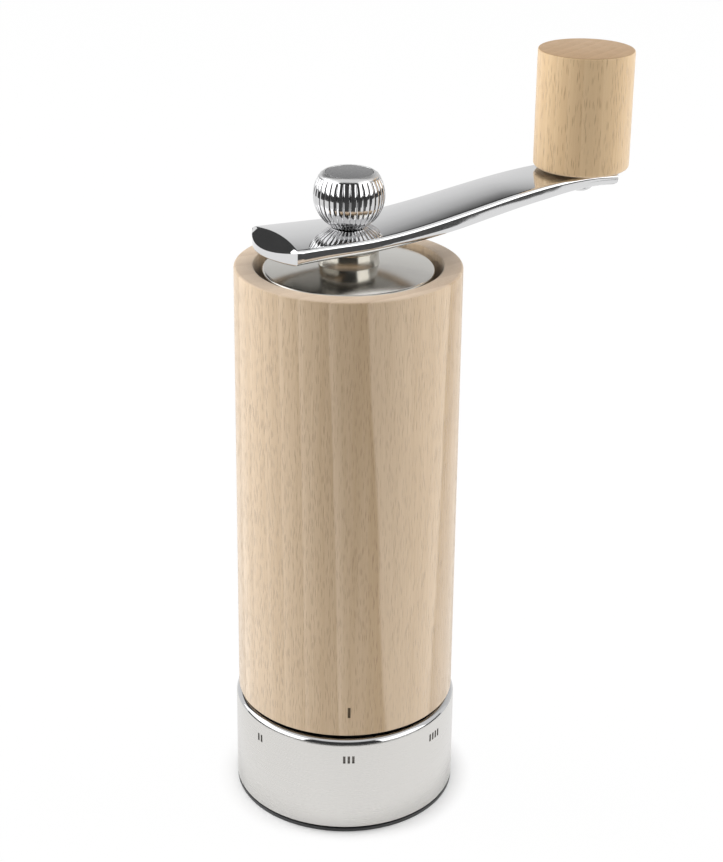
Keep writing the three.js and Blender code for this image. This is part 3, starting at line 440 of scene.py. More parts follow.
def polished_steel(name, colour, roughness, middle):
    """Mirror polished steel with a faint haze and waviness."""
    finish, shader = new_finish(name, colour, roughness, 1.0)
    haze = noise(finish, placed(finish, middle, (90, 90, 90)), 1.0, 4.0, 0.6)
    vary_roughness(finish, shader, haze, 0.05, roughness)
    waves = noise(finish, placed(finish, middle, (160, 160, 160)), 1.0, 1.0)
    raise_surface(finish, shader, waves, 0.06, 0.0004)
    tint = mix(finish, haze, shaded(colour, 0.97), colour)
    join(finish, tint, shader.inputs["Base Color"])
    return finish


def lathe_polished_steel(name, colour, roughness):
    """Steel polished on a lathe, with fine circles round the mill's axis."""
    finish, shader = new_finish(name, colour, roughness, 1.0)
    split = split_place(finish, placed(finish, (MILL_AXIS, 0, 0)))
    radius = from_axis(finish, split["X"], split["Y"])
    gather = add_node(finish, "CombineXYZ")
    join(finish, calculate(finish, "ADD", radius, split["Z"]), gather.inputs["X"])
    circles = noise(finish, gather.outputs["Vector"], 5200.0, 3.0, 0.7)
    vary_roughness(finish, shader, circles, 0.08, roughness)
    raise_surface(finish, shader, circles, 0.05, 0.00005)
    clouds = noise(finish, placed(finish, (MILL_AXIS, 0, 0), (80, 80, 80)), 1.0, 3.0)
    tint = mix(finish, clouds, shaded(colour, 0.9), colour)
    join(finish, tint, shader.inputs["Base Color"])
    return finish


SATIN_STEEL = satin_steel("satin steel", (0.70, 0.685, 0.66), 0.26)
MIRROR_STEEL = polished_steel("mirror steel", (0.70, 0.70, 0.705), 0.03, (0, 0, 0.15))
SHOULDER_STEEL = polished_steel("shoulder steel", (0.54, 0.54, 0.545), 0.05, (MILL_AXIS, 0, 0.03))
BALL_STEEL = polished_steel("ball steel", (0.66, 0.66, 0.665), 0.05, (MILL_AXIS, 0, 0.15))
RIM_STEEL = satin_steel("rim steel", (0.62, 0.62, 0.62), 0.34)
LID_STEEL = lathe_polished_steel("lid steel", (0.56, 0.545, 0.51), 0.12)
HUB_STEEL = lathe_polished_steel("hub steel", (0.62, 0.60, 0.55), 0.13)
PLAIN_STEEL = polished_steel("plain steel", (0.52, 0.52, 0.53), 0.22, (0, 0, 0.1))


# %% [markdown]
# ### Plastics, ceramic, brass and rubber
# Moulded plastic isn't perfectly even: a fine grain breaks up its shine. The ceramic of the
# grinder is duller and has faint speckles from its firing.


# %% Make the other finishes
def moulded(name, colour, roughness, grain=1400.0, depth=0.12, speckle=0.1, metallic=0.0):
    """A moulded or cast finish: a colour with a fine grain and slight speckles."""
    finish, shader = new_finish(name, colour, roughness, metallic)
    place = placed(finish, (MILL_AXIS, 0, 0))
    pores = noise(finish, place, grain, 3.0)
    clouds = noise(finish, place, grain / 12, 2.0)
    tint = mix(finish, clouds, shaded(colour, 1 - speckle), colour)
    join(finish, tint, shader.inputs["Base Color"])
    vary_roughness(finish, shader, pores, 0.2, roughness - 0.1)
    raise_surface(finish, shader, pores, depth, 0.00005)
    return finish


FOOT_PLASTIC = moulded("foot plastic", (0.04, 0.04, 0.041), 0.36, speckle=0.25)
BLACK_PLASTIC = moulded("black plastic", (0.03, 0.03, 0.031), 0.5, speckle=0.2)
WHITE_PLASTIC = moulded("white plastic", (0.78, 0.77, 0.72), 0.45, speckle=0.05)
CERAMIC = moulded("fired ceramic", (0.78, 0.75, 0.68), 0.5, grain=2600.0, depth=0.2, speckle=0.12)
BRASS = moulded("turned brass", (0.72, 0.52, 0.22), 0.3, speckle=0.1, metallic=1.0)
RUBBER = moulded("rubber", (0.02, 0.02, 0.02), 0.8, speckle=0.2)
DARK_DISC = moulded("dark disc", (0.24, 0.24, 0.245), 0.3, depth=0.04, speckle=0.2, metallic=1.0)
ETCHED = moulded("etched mark", (0.19, 0.175, 0.155), 0.6, speckle=0.3)
BURNT = moulded("burnt mark", (0.15, 0.10, 0.05), 0.7, speckle=0.4)

# %% [markdown]
# ## The wooden tube
# The tube is turned from one block: a straight outside with broken edges, a mouth for the lid, a
# narrower salt space below it, and a socket for the mechanism. The mark that the setting ring is
# read against is burnt into the front, low down.

# %% Heights of the tube
RING_BOTTOM, RING_TOP = heights("steel_sleeve")
TUBE_BOTTOM, TUBE_TOP = heights("wooden_body")
TUBE_RADIUS = 27.8
MOUTH_RADIUS, MOUTH_DEPTH = 23.0, 15.2
SALT_RADIUS = 20.0
HOUSING_RADIUS, HOUSING_DEPTH = 22.0, 30
FLANGE_RADIUS, FLANGE_DEPTH = 26.7, 3
print("tube from", round(TUBE_BOTTOM, 2), "to", round(TUBE_TOP, 2), "mm")

# %% Turn the tube
MARK_TURN = radians(-112)

tube = turned([
    (FLANGE_RADIUS, TUBE_BOTTOM), (TUBE_RADIUS, TUBE_BOTTOM),
    (TUBE_RADIUS, TUBE_TOP), (MOUTH_RADIUS, TUBE_TOP),
    (MOUTH_RADIUS, TUBE_TOP - MOUTH_DEPTH), (SALT_RADIUS, TUBE_TOP - MOUTH_DEPTH),
    (SALT_RADIUS, TUBE_BOTTOM + HOUSING_DEPTH), (HOUSING_RADIUS, TUBE_BOTTOM + HOUSING_DEPTH),
    (HOUSING_RADIUS, TUBE_BOTTOM + FLANGE_DEPTH), (FLANGE_RADIUS, TUBE_BOTTOM + FLANGE_DEPTH),
])
round_corner(tube, (TUBE_RADIUS, TUBE_TOP), width=0.6)
round_corner(tube, (MOUTH_RADIUS, TUBE_TOP), width=0.4, segments=3)
round_corner(tube, (TUBE_RADIUS, TUBE_BOTTOM), width=0.2, segments=3)

# %% [markdown]
# A mark is a shallow pocket. A small block that has the mark's own finish is pushed into the
# wood, and a Boolean takes it away, which leaves the pocket's walls in that finish.


# %% Cut marks
def mark_block(width, height, radius, turn, middle, depth=0.3):
    """A block that cuts one upright bar into a round side, in millimetres."""
    clear_selection()
    thick = depth + 1.0  # it stands out by a millimetre
    out = (radius - depth + thick / 2) * MM
    place = (MILL_AXIS + out * cos(turn), out * sin(turn), middle * MM)
    bpy.ops.mesh.primitive_cube_add(size=1, location=place, rotation=(0, 0, turn))
    bpy.ops.transform.resize(value=(thick * MM, width * MM, height * MM), orient_type="LOCAL")
    bpy.ops.object.transform_apply()
    return bpy.context.object


def cut_away(piece, cutter, finish):
    """Takes a cutter away from a piece; the walls of the cut get the cutter's finish."""
    cutter.data.materials.clear()
    cutter.data.materials.append(finish)
    clear_selection()
    piece.select_set(True)
    bpy.context.view_layer.objects.active = piece
    apply_modifier(piece, "BOOLEAN", operation="DIFFERENCE", solver="EXACT", object=cutter,
        material_mode="TRANSFER")
    bpy.data.objects.remove(cutter)


def give_end_grain(piece, side, end, height):
    """Gives a piece its wood, with end grain on the flat faces at a height and above."""
    piece.data.materials.append(side)
    piece.data.materials.append(end)
    for face in piece.data.polygons:
        if face.center.z > height * MM and face.normal.z > 0.8:
            face.material_index = 1


give_end_grain(tube, TUBE_BEECH, TUBE_END, TUBE_TOP - 1)
mark = mark_block(width=0.7, height=2.9, radius=TUBE_RADIUS, turn=MARK_TURN,
    middle=TUBE_BOTTOM + 6.65)
cut_away(tube, mark, BURNT)
tube = finish_piece("wooden_tube")
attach(tube, "mill_body")
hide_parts("wooden_body")

# %% [markdown]
# ## The setting ring
# The ring is a sleeve of steel whose top is rolled in over a round shoulder. Its side is satin
# and its shoulder polished. The photograph shows its top a little below the wood, with a dark gap
# between them, so it is turned a little shorter than the CAD's. Six settings are marked round it
# with one to six bars, a seventh of a turn apart, so one place stays bare.

# %% Turn the ring
RING_RADIUS = 28.5
RING_WALL = 1.2
RING_MOUTH = 24.5
SHOULDER = 1.8
SLEEVE_TOP = RING_TOP - 0.8

ring = turned([
    (RING_RADIUS - RING_WALL, RING_BOTTOM), (RING_RADIUS, RING_BOTTOM),
    (RING_RADIUS, SLEEVE_TOP), (RING_MOUTH, SLEEVE_TOP),
    (RING_MOUTH, SLEEVE_TOP - RING_WALL), (RING_RADIUS - RING_WALL, SLEEVE_TOP - RING_WALL),
])
inner_corner = (RING_RADIUS - RING_WALL, SLEEVE_TOP - RING_WALL)
round_corner(ring, inner_corner, width=SHOULDER - RING_WALL, segments=3)
round_corner(ring, (RING_RADIUS, SLEEVE_TOP), width=SHOULDER, segments=12)
round_corner(ring, (RING_RADIUS, RING_BOTTOM), width=0.12, segments=2)
ring.data.materials.append(SATIN_STEEL)
ring.data.materials.append(SHOULDER_STEEL)

# %% Polish the shoulder
POLISHED_FROM = 0.4  # how far a face of the shoulder must look up
for face in ring.data.polygons:
    if face.center.z > (SLEEVE_TOP - SHOULDER) * MM and face.normal.z > POLISHED_FROM:
        face.material_index = 1

# %% Cut the setting marks
SETTINGS = 6
SECTORS = 7
SHOWN = 3
BAR_PITCH = 1.14
BARS_DOWN = 6.25  # from the ring's CAD top to the middle of the bars

bars = []
for setting in range(1, SETTINGS + 1):
    turn = MARK_TURN + (setting - SHOWN) * 2 * pi / SECTORS
    for bar in range(setting):
        step = (bar - (setting - 1) / 2) * BAR_PITCH / RING_RADIUS
        bars.append(mark_block(width=0.62, height=2.1, radius=RING_RADIUS, turn=turn + step,
            middle=RING_TOP - BARS_DOWN))
clear_selection()
for block in bars:
    block.select_set(True)
bpy.context.view_layer.objects.active = bars[0]
bpy.ops.object.join()
print("bars cut:", len(bars))
cut_away(ring, bars[0], ETCHED)
ring = finish_piece("setting_sleeve")
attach(ring, "setting_ring")
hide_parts("steel_sleeve")

# %% [markdown]
# ## The foot
# Under the ring is a black plastic foot. Just below the steel it has a narrow groove, which
# looks like a black line, and then a lip with soft edges.

# %% Turn the foot
FOOT_INSIDE = 23.9
LIP_RADIUS, LIP_TOP = 28.45, 0.85
GROOVE_RADIUS = 27.4
COLLAR_INSIDE, COLLAR_OUTSIDE = 24.9, 27.0
foot_top = heights("foot_ring")[1]
foot = turned([
    (FOOT_INSIDE, 0.0), (LIP_RADIUS, 0.0), (LIP_RADIUS, LIP_TOP), (GROOVE_RADIUS, LIP_TOP),
    (GROOVE_RADIUS, RING_BOTTOM), (COLLAR_OUTSIDE, RING_BOTTOM), (COLLAR_OUTSIDE, foot_top),
    (COLLAR_INSIDE, foot_top), (COLLAR_INSIDE, RING_BOTTOM), (FOOT_INSIDE, RING_BOTTOM),
])
for height in (LIP_TOP, 0.0):
    round_corner(foot, (LIP_RADIUS, height), width=0.2, segments=3)
foot = finish_piece("foot", FOOT_PLASTIC)
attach(foot, "setting_ring")
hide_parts("foot_ring")

# %% [markdown]
# ## The lid and its hub
# The lid is a thin disc, slightly domed, whose rim is rolled down. The hub on it is a short
# waisted boss that carries the arm. Both are turned from their sections.

# %% Turn the lid
LID_RADIUS = 21.1
LID_SHEET = 0.8
LID_DOME = 1.7
STEM_HOLE = 6.2
lid_skirt = heights("lid_plate")[0]
lid_rim = TUBE_TOP - 0.9


def dome_height(r):
    """Height of the lid's top face at a radius."""
    return lid_rim + LID_DOME * (1 - (r / LID_RADIUS) ** 2)


steps = [20.3, 18.0, 15.0, 12.0, 9.0, STEM_HOLE]
top_face = [(r, dome_height(r)) for r in steps]
under_face = [(r, z - LID_SHEET) for r, z in reversed(top_face)]
lid = turned([
    (LID_RADIUS - LID_SHEET, lid_skirt), (LID_RADIUS, lid_skirt), (LID_RADIUS, lid_rim),
    *top_face, *under_face[:-1], (LID_RADIUS - LID_SHEET, lid_rim - LID_SHEET),
])
round_corner(lid, (LID_RADIUS, lid_rim), width=0.6, segments=6)
lid = finish_piece("lid_disc", LID_STEEL, 40)
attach(lid, "lid")
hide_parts("lid_plate")

# %% Turn the hub
HUB_RADIUS = 7.5
HUB_BORE = 5.2
STEM_RADIUS = 5.9
SUNK = 0.05  # how deep a piece's foot is let into its neighbour, so that no light shows through
WAIST = [(7.55, 0.0), (7.47, 0.12), (7.39, 0.28), (7.35, 0.48), (7.37, 0.66), (7.44, 0.84)]
stem_bottom, hub_top = heights("lid_hub")
hub_bottom = dome_height(7.6) - SUNK
hub_rise = hub_top - hub_bottom
print("hub rise:", round(hub_rise, 2))
hub = turned([
    (HUB_BORE, stem_bottom), (STEM_RADIUS, stem_bottom), (STEM_RADIUS, hub_bottom),
    *[(r, hub_bottom + share * hub_rise) for r, share in WAIST],
    (HUB_RADIUS, hub_top), (HUB_BORE, hub_top),
], sides=SMALL_SIDES)
round_corner(hub, (HUB_RADIUS, hub_top), width=0.15, segments=3)
hub = finish_piece("lid_boss", HUB_STEEL, 40)
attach(hub, "lid")
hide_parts("lid_hub")

# %% [markdown]
# ## The crank arm
# The arm is a bar with a slightly crowned top, level over the hub, which rises in an S to the
# grip. A cross-section of sixteen columns is extruded from place to place along the bend, and on
# the way its width, thickness and crown change. It has a row of corners halfway down its side,
# which is needed for the bevel that is ground on its short end.

# %% Lay out the bend
ARM_TOP = TUBE_TOP + 8.7
ARM_TAIL = -19.2
ARM_TIP = 70.2
TAIL_WIDTH = 22.6
TIP_WIDTH = 15.5
BEND_START = -3.4
ASKEW = 0.105
SHAFT_HOLE = 2.6
COLUMNS = 16
CROWN, CROWN_LOSS = 0.95, 0.7
LOSS_START, LOSS_LENGTH = 40, 14
# The S, as the ends and handles of a curve, and the thickness; each begins with a length
BEND = [(BEND_START, 0.0), (23.2, 0.0), (47.8, 10.95), (70.8, 7.75)]
THICKNESS = [(-19.2, 3.7), (-10, 3.4), (8, 3.4), (26, 3.9), (50, 3.7), (66, 2.7), (70.2, 2.6)]
GRIP_REACH = round((GRIP_AXIS - MILL_AXIS) / MM, 2)


def bend(t):
    """A point on the arm's top face from the side, along the S: (length, height)."""
    shares = [(1 - t) ** 3, 3 * t * (1 - t) ** 2, 3 * t * t * (1 - t), t**3]
    return tuple(sum(share * end[i] for share, end in zip(shares, BEND)) for i in (0, 1))


def arm_height(x):
    """Height of the arm's top face at a length from the shaft, by halving the bend."""
    if x <= BEND_START:
        return 0.0
    low, high = 0.0, 1.0
    for _ in range(40):
        middle = (low + high) / 2
        low, high = (middle, high) if bend(middle)[0] < x else (low, middle)
    return bend(low)[1]


def arm_width(x):
    """Width of the arm at a length from the shaft."""
    return TAIL_WIDTH + (TIP_WIDTH - TAIL_WIDTH) * (x - ARM_TAIL) / (ARM_TIP - ARM_TAIL)


def arm_thick(x):
    """Thickness of the arm at a length from the shaft, least at the tip."""
    for (near, thin), (far, thick) in zip(THICKNESS, THICKNESS[1:]):
        if x <= far:
            return thin + (thick - thin) * max((x - near) / (far - near), 0)
    return THICKNESS[-1][1]


def crown(x):
    """How far the middle of the arm's top stands above its edges: less where the grip sits."""
    return CROWN - CROWN_LOSS * min(max((x - LOSS_START) / LOSS_LENGTH, 0), 1)


BEND_STEPS = 32
stations = [ARM_TAIL, -16, -12, -8]
stations += [BEND_START + (ARM_TIP - BEND_START) * i / BEND_STEPS for i in range(BEND_STEPS + 1)]
print("arm stations:", len(stations), "rise at the grip:", round(arm_height(GRIP_REACH), 2))

# %% Draw the arm's section
clear_selection()
tail_thick = arm_thick(ARM_TAIL)
start = Vector((MILL_AXIS + ARM_TAIL * MM, 0, (ARM_TOP - tail_thick / 2) * MM))
bpy.ops.mesh.primitive_grid_add(x_subdivisions=2, y_subdivisions=COLUMNS, size=1, location=start,
    rotation=(0, radians(90), 0))
arm = bpy.context.object
bpy.ops.object.transform_apply()
bpy.ops.object.mode_set(mode="EDIT")
select_all()
bpy.ops.transform.resize(value=(1, TAIL_WIDTH * MM, tail_thick * MM), center_override=start)
for column in range(1, COLUMNS):
    share = 2 * column / COLUMNS - 1
    y = share * TAIL_WIDTH / 2 * MM
    pick(arm, lambda corner: abs(corner.co.y - y) < NEAR and corner.co.z > ARM_TOP * MM - NEAR)
    bpy.ops.transform.translate(value=(0, 0, crown(ARM_TAIL) * (1 - share**2) * MM))

# %% Extrude the arm along the bend
for here, there in zip(stations, stations[1:]):
    end = MILL_AXIS + here * MM
    pick(arm, lambda face: abs(face.center.x - end) < NEAR and abs(face.normal.x) > 0.9,
        "polygons")
    step = Vector((there - here, 0, arm_height(there) - arm_height(here))) * MM
    bpy.ops.mesh.extrude_region_move(TRANSFORM_OT_translate={"value": step})
    top = (ARM_TOP + arm_height(there)) * MM
    wider = arm_width(there) / arm_width(here)
    thicker = arm_thick(there) / arm_thick(here)
    bpy.ops.transform.resize(value=(1, wider, thicker), center_override=(0, 0, top))
    end = MILL_AXIS + there * MM
    pick(arm, lambda corner: abs(corner.co.x - end) < NEAR and corner.co.z > top + NEAR)
    higher = crown(there) / crown(here) / thicker
    bpy.ops.transform.resize(value=(1, 1, higher), center_override=(0, 0, top))
face_outwards()
leave_edit_mode()

# %% [markdown]
# The ends are bowed column by column. The short end gets its ground bevel in the same way: the
# upper row of corners is drawn in and the two lower rows are pushed out, which leaves a face the
# shape of a lens between them. The end also runs slightly askew.


# %% Bow the ends
BEVEL_FOOT = 0.4  # how far above the underside the ground bevel ends


def row_of(corner):
    """Which row of the section a corner is on: 0 is the top, 1 the middle, 2 the bottom."""
    x = min(max((corner.co.x - MILL_AXIS) / MM, ARM_TAIL), ARM_TIP)
    down = ARM_TOP + arm_height(x) - corner.co.z / MM
    return max(0, round(2 * down / arm_thick(x)))


def bow_row(x_end, row, push, sink=0.0, askew=0.0):
    """Pushes a row of an end along the arm, most in the middle of its width, and may lower it."""
    half = arm_width(x_end) / 2
    for column in range(COLUMNS + 1):
        share = 2 * column / COLUMNS - 1
        x, y = MILL_AXIS + x_end * MM, half * share * MM

        def wanted(corner):
            on_column = abs(corner.co.x - x) < NEAR and abs(corner.co.y - y) < NEAR
            return on_column and row_of(corner) == row

        pick(arm, wanted)
        bow = 1 - share**2
        along = push * bow - askew * half * share
        lift = -sink * bow
        if row == 1 and sink:
            lift += tail_thick / 2 - BEVEL_FOOT
        bpy.ops.transform.translate(value=(along * MM, 0, lift * MM))
    leave_edit_mode()


for row in range(3):
    bow_row(ARM_TIP, row, push=3.0)

# %% [markdown]
# ### Round the edges
# A bevel can have another width at each edge: Blender keeps a weight on every edge, and the
# modifier multiplies its width by it. Here the lower edges get the full width, the upper ones
# a little over half and the edges of the short end much less. The weights are set before the
# short end is bowed, while its corners are easy to find.


# %% Weigh the edges
def weigh(weight, row, along):
    """Gives the edges on a row of the section's rim a share of the bevel's width. They run along
    the arm or across one of its ends."""
    rows = [row_of(corner) for corner in arm.data.vertices]
    faces = {}
    for face in arm.data.polygons:
        for key in face.edge_keys:
            faces.setdefault(key, []).append({rows[i] for i in face.vertices} == {row})
    points = arm.data.vertices

    def wanted(edge):
        on_rim = len(set(faces[tuple(sorted(edge.vertices))])) == 2
        if not on_rim or any(rows[i] != row for i in edge.vertices):
            return False
        ends = [points[i].co.x for i in edge.vertices]
        at_tail = max(ends) < MILL_AXIS + ARM_TAIL * MM + NEAR
        at_tip = min(ends) > MILL_AXIS + ARM_TIP * MM - NEAR
        return ("tail" if at_tail else "tip" if at_tip else "side") in along

    count = pick(arm, wanted, "edges")
    bpy.ops.transform.edge_bevelweight(value=weight)
    leave_edit_mode()
    print("row", row, along, count, "edges, weight", weight)


clear_selection()
bpy.context.view_layer.objects.active = arm
arm.select_set(True)
weigh(0.6, 0, ("side", "tip"))
weigh(0.12, 0, ("tail",))
weigh(1.0, 2, ("side", "tip"))
weigh(0.25, 2, ("tail",))
bow_row(ARM_TAIL, 0, push=1.1, askew=ASKEW)
bow_row(ARM_TAIL, 1, push=-3.6, sink=1.4, askew=ASKEW)
bow_row(ARM_TAIL, 2, push=-3.6, askew=ASKEW)
apply_modifier(arm, "BEVEL", width=1.5 * MM, segments=7, profile=0.57, limit_method="WEIGHT",
    use_clamp_overlap=False)

# %% Bore the arm for its shaft
arm.data.materials.append(MIRROR_STEEL)
clear_selection()
bpy.ops.mesh.primitive_cylinder_add(vertices=64, radius=SHAFT_HOLE * MM, depth=8 * MM,
    location=(MILL_AXIS, 0, (ARM_TOP - 2) * MM))
shaft_cutter = bpy.context.object
bpy.ops.object.transform_apply()
cut_away(arm, shaft_cutter, MIRROR_STEEL)
arm = finish_piece("arm_bar", smooth_angle=28)
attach(arm, "arm")
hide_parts("crank_arm")

# %% [markdown]
# ## The ball nut
# The ball is turned and then fluted: thirty-two rounded reeds run from its foot to a groove under
# a plain satin rim. Spin makes twelve steps to a reed, and the corners at each step are drawn in
# towards the axis by their own share, so that all the reeds come from a few moves.

# %% Turn the ball
BALL_RADIUS = 8.7
BALL_FOOT = 4.35
BALL_ANGLES = (-58.5, -53, -46, -39, -32, -25, -18, -11, -4, 3, 9, 15, 21, 27, 32)
RECESS_RADIUS = 5.85
# The groove and the rim: radius, and height from the ball's top
RIM = [(6.95, -1.1), (6.95, -0.95), (7.15, -0.85), (7.05, -0.6), (6.3, -0.1), (6.05, 0.0),
    (5.95, 0.0), (RECESS_RADIUS, -0.1)]
REEDS = 32
STEPS_PER_REED = 12
ball_top = heights("ball_nut")[1]
ball_middle = ball_top - 5.7
ball_bottom = ARM_TOP + crown(0) + 0.1
disc_bottom = heights("ball_disc")[0]
recess_floor = disc_bottom - 0.3


def ball_point(angle):
    """A point on the ball's outline at an angle above level."""
    return (BALL_RADIUS * cos(radians(angle)), ball_middle + BALL_RADIUS * sin(radians(angle)))


ball = turned([
    (SHAFT_HOLE, ball_bottom), (BALL_FOOT, ball_bottom),
    *[ball_point(angle) for angle in BALL_ANGLES],
    *[(r, ball_top + z) for r, z in RIM],
    (RECESS_RADIUS, recess_floor), (SHAFT_HOLE, recess_floor),
], sides=REEDS * STEPS_PER_REED)

# %% Flute the ball
GROOVE_SHARE = 0.955
REED_DROP = 0.013
REED_TOP = 4.6  # above the ball's middle


def reed_step(corner):
    """Which step of its reed a corner is on, counted from the groove."""
    turn = atan2(corner.co.y, corner.co.x - MILL_AXIS) / (2 * pi)
    return round(turn * REEDS * STEPS_PER_REED) % STEPS_PER_REED


def reed_share(step):
    """How much of the ball's radius is left at a step: a V at the groove, a low round between."""
    if step == 0:
        return GROOVE_SHARE
    half = STEPS_PER_REED / 2
    return 1 - REED_DROP * ((step - half) / (half - 1)) ** 2


def on_reeds(corner):
    """Whether a corner is on the fluted part of the ball."""
    radius = sqrt((corner.co.x - MILL_AXIS) ** 2 + corner.co.y**2) / MM
    height = corner.co.z / MM - ball_middle
    return abs(sqrt(radius**2 + height**2) - BALL_RADIUS) < 0.1 and height < REED_TOP


reeded = {corner.index: reed_step(corner) for corner in ball.data.vertices if on_reeds(corner)}
print("corners on the reeds:", len(reeded))
for step in range(STEPS_PER_REED):
    share = reed_share(step)
    pick(ball, lambda corner: reeded.get(corner.index) == step)
    bpy.ops.transform.resize(value=(share, share, 1), center_override=(MILL_AXIS, 0, 0))
leave_edit_mode()
ball.data.materials.append(BALL_STEEL)
ball.data.materials.append(RIM_STEEL)
for face in ball.data.polygons:
    if face.center.z > (ball_top - 0.9) * MM and face.normal.z > 0.3:
        face.material_index = 1
ball = finish_piece("ball", smooth_angle=50)
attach(ball, "nut")
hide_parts("ball_nut")

# %% Turn the ball's disc
DISC_RADIUS = 5.8
DISC_TOP = [(DISC_RADIUS, -0.2), (5.65, -0.05), (4.0, 0.05), (2.0, 0.12), (0.0, 0.15)]
disc = turned([
    (0.0, disc_bottom), (DISC_RADIUS, disc_bottom), *[(r, ball_top + z) for r, z in DISC_TOP],
], sides=SMALL_SIDES)
disc = finish_piece("ball_plate", DARK_DISC, 30)
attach(disc, "nut")
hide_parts("ball_disc")

# %% [markdown]
# ## The grip
# The grip is a plain beech cylinder with broken edges, bored from below for its bush. It is
# turned on its own axis at the arm's long end, and the head of its axle shows under the arm.

# %% Turn the grip
GRIP_RADIUS = 12.0
GRIP_BORE = 4.75
GRIP_SIDES = 128
grip_low, grip_top = heights("wooden_grip")
grip_bottom = grip_low - 0.55
bore_end = grip_bottom + 23.5
grip = turned([
    (GRIP_BORE, grip_bottom), (GRIP_RADIUS, grip_bottom), (GRIP_RADIUS, grip_top),
    (0.0, grip_top), (0.0, bore_end), (GRIP_BORE, bore_end),
], GRIP_AXIS, GRIP_SIDES)
round_corner(grip, (GRIP_RADIUS, grip_top), width=0.5, axis=GRIP_AXIS)
round_corner(grip, (GRIP_RADIUS, grip_bottom), width=0.9, axis=GRIP_AXIS)
give_end_grain(grip, GRIP_BEECH, GRIP_END, grip_top - 1)
grip = finish_piece("grip_handle")
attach(grip, "grip")
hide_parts("wooden_grip")

# %% Turn the grip's axle
PIN_RADIUS, CLIP_GROOVE, PIN_END = 2.35, 1.9, 2.05
PIN_HEAD = [(0.0, -2.75), (1.2, -2.7), (2.1, -2.5), (2.8, -2.1), (3.15, -1.6), (3.2, -0.05),
    (PIN_RADIUS, 0.0)]
PLAY = 0.05  # between the pin and its neighbours
axle_top = heights("grip_axle")[1]
clip_low, clip_high = heights("axle_clip")
arm_under = ARM_TOP + arm_height(GRIP_REACH) - arm_thick(GRIP_REACH)
axle = turned([
    *[(r, arm_under - PLAY + z) for r, z in PIN_HEAD],
    (PIN_RADIUS, clip_low - PLAY), (CLIP_GROOVE, clip_low - PLAY),
    (CLIP_GROOVE, clip_high + PLAY), (PIN_RADIUS, clip_high + PLAY),
    (PIN_RADIUS, axle_top - 0.3), (PIN_END, axle_top), (0.0, axle_top),
], GRIP_AXIS, SMALL_SIDES)
axle = finish_piece("grip_pin", BALL_STEEL, 30)
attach(axle, "arm")
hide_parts("grip_axle")

# %% [markdown]
# ## Inside the mill
# The pieces of the mechanism keep their CAD shapes. Each only needs its real finish, in place of
# the one it came with.

# %% Finish the mechanism
INSIDE = [
    (BLACK_PLASTIC, ["mechanism_housing", "bearing_bridge", "setting_collar", "lid_plug"]),
    (WHITE_PLASTIC, ["grinder_carrier", "shaft_spacer", "hub_bush", "hub_washer", "grip_washer",
        "grip_bush"]),
    (PLAIN_STEEL, ["housing_screw_1", "housing_screw_2", "housing_screw_3", "retaining_ring",
        "drive_shaft", "shaft_clip", "rotor_washer", "rotor_screw", "axle_clip"]),
    (CERAMIC, ["outer_grinder", "inner_grinder"]),
    (BRASS, ["shaft_bush"]),
    (RUBBER, ["drag_ring"]),
]
for finish, names in INSIDE:
    for name in names:
        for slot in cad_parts[name].material_slots:
            slot.material = finish
print("inside pieces:", sum(len(names) for _, names in INSIDE))

# %% [markdown]
# One inner piece changes its shape: the wire spring that presses the grinder's carrier down. It
# shortens as the carrier is screwed up. A ring of wire is drawn up along its axis by the Screw
# modifier into a coil.

# %% Wind the spring
WIRE = 0.45
TURNS = 4
spring_low, spring_high = heights("carrier_spring")
coil_radius = (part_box("carrier_spring")[1].x - MILL_AXIS) / MM - WIRE
climb = spring_high - spring_low - 2 * WIRE
clear_selection()
bpy.ops.mesh.primitive_circle_add(vertices=14, radius=WIRE * MM, rotation=(radians(90), 0, 0),
    location=(MILL_AXIS + coil_radius * MM, 0, (spring_low + WIRE) * MM))
spring = bpy.context.object
bpy.ops.object.transform_apply()
bpy.context.scene.cursor.location = (MILL_AXIS, 0, 0)
bpy.ops.object.origin_set(type="ORIGIN_CURSOR")
apply_modifier(spring, "SCREW", axis="Z", steps=36, render_steps=36, iterations=TURNS,
    screw_offset=climb / TURNS * MM)
bpy.ops.object.mode_set(mode="EDIT")
select_all()
bpy.ops.mesh.fill_holes(sides=0)
face_outwards()
spring = finish_piece("coil_spring", PLAIN_STEEL, 60)
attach(spring, "mill_body")
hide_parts("carrier_spring")
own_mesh(spring)

# %% [markdown]
# ## The studio
# The mill stands on a pale floor in soft light: a large soft box on the left and a weaker one on
# the right. The background is white to the camera and in reflections. Polished steel only looks
# like steel with something dark to mirror, so cards stand round the mill, some dark and some
# glowing, where only reflections see them. They cast no shadow and light nothing: they paint
# dark reflections and painted highlights into the steel. The card behind it is a painted
# reflection that glows less upwards, and the arm's crowned top mirrors that.

# %% Floor and background
clear_selection()
bpy.ops.mesh.primitive_plane_add(size=6, location=(0, 0, 0))
floor = bpy.context.object
floor.name = "floor"
pale, matt = new_finish("pale floor", (0.95, 0.95, 0.95), 0.9)
output = pale.node_tree.nodes["Material Output"]
light_path = add_node(pale, "LightPath")
glow = add_node(pale, "Emission", Color=(1, 1, 1, 1), Strength=1.0)
distance = add_node(pale, "VectorMath", operation="LENGTH")
join(pale, placed(pale, (MILL_AXIS, 0, 0)), distance.inputs[0])
away = add_node(pale, "MapRange", interpolation_type="SMOOTHSTEP",
    From_Min=0.0285, From_Max=0.0345, To_Min=0.05, To_Max=0.98)
join(pale, distance.outputs["Value"], away.inputs["Value"])
seen_ray = calculate(pale, "MAXIMUM", light_path.outputs["Is Camera Ray"],
    light_path.outputs["Is Glossy Ray"])
blend_floor = add_node(pale, "MixShader")
join(pale, calculate(pale, "MULTIPLY", seen_ray, away.outputs["Result"]),
    blend_floor.inputs["Fac"])
join(pale, matt.outputs["BSDF"], blend_floor.inputs[1])
join(pale, glow.outputs["Emission"], blend_floor.inputs[2])
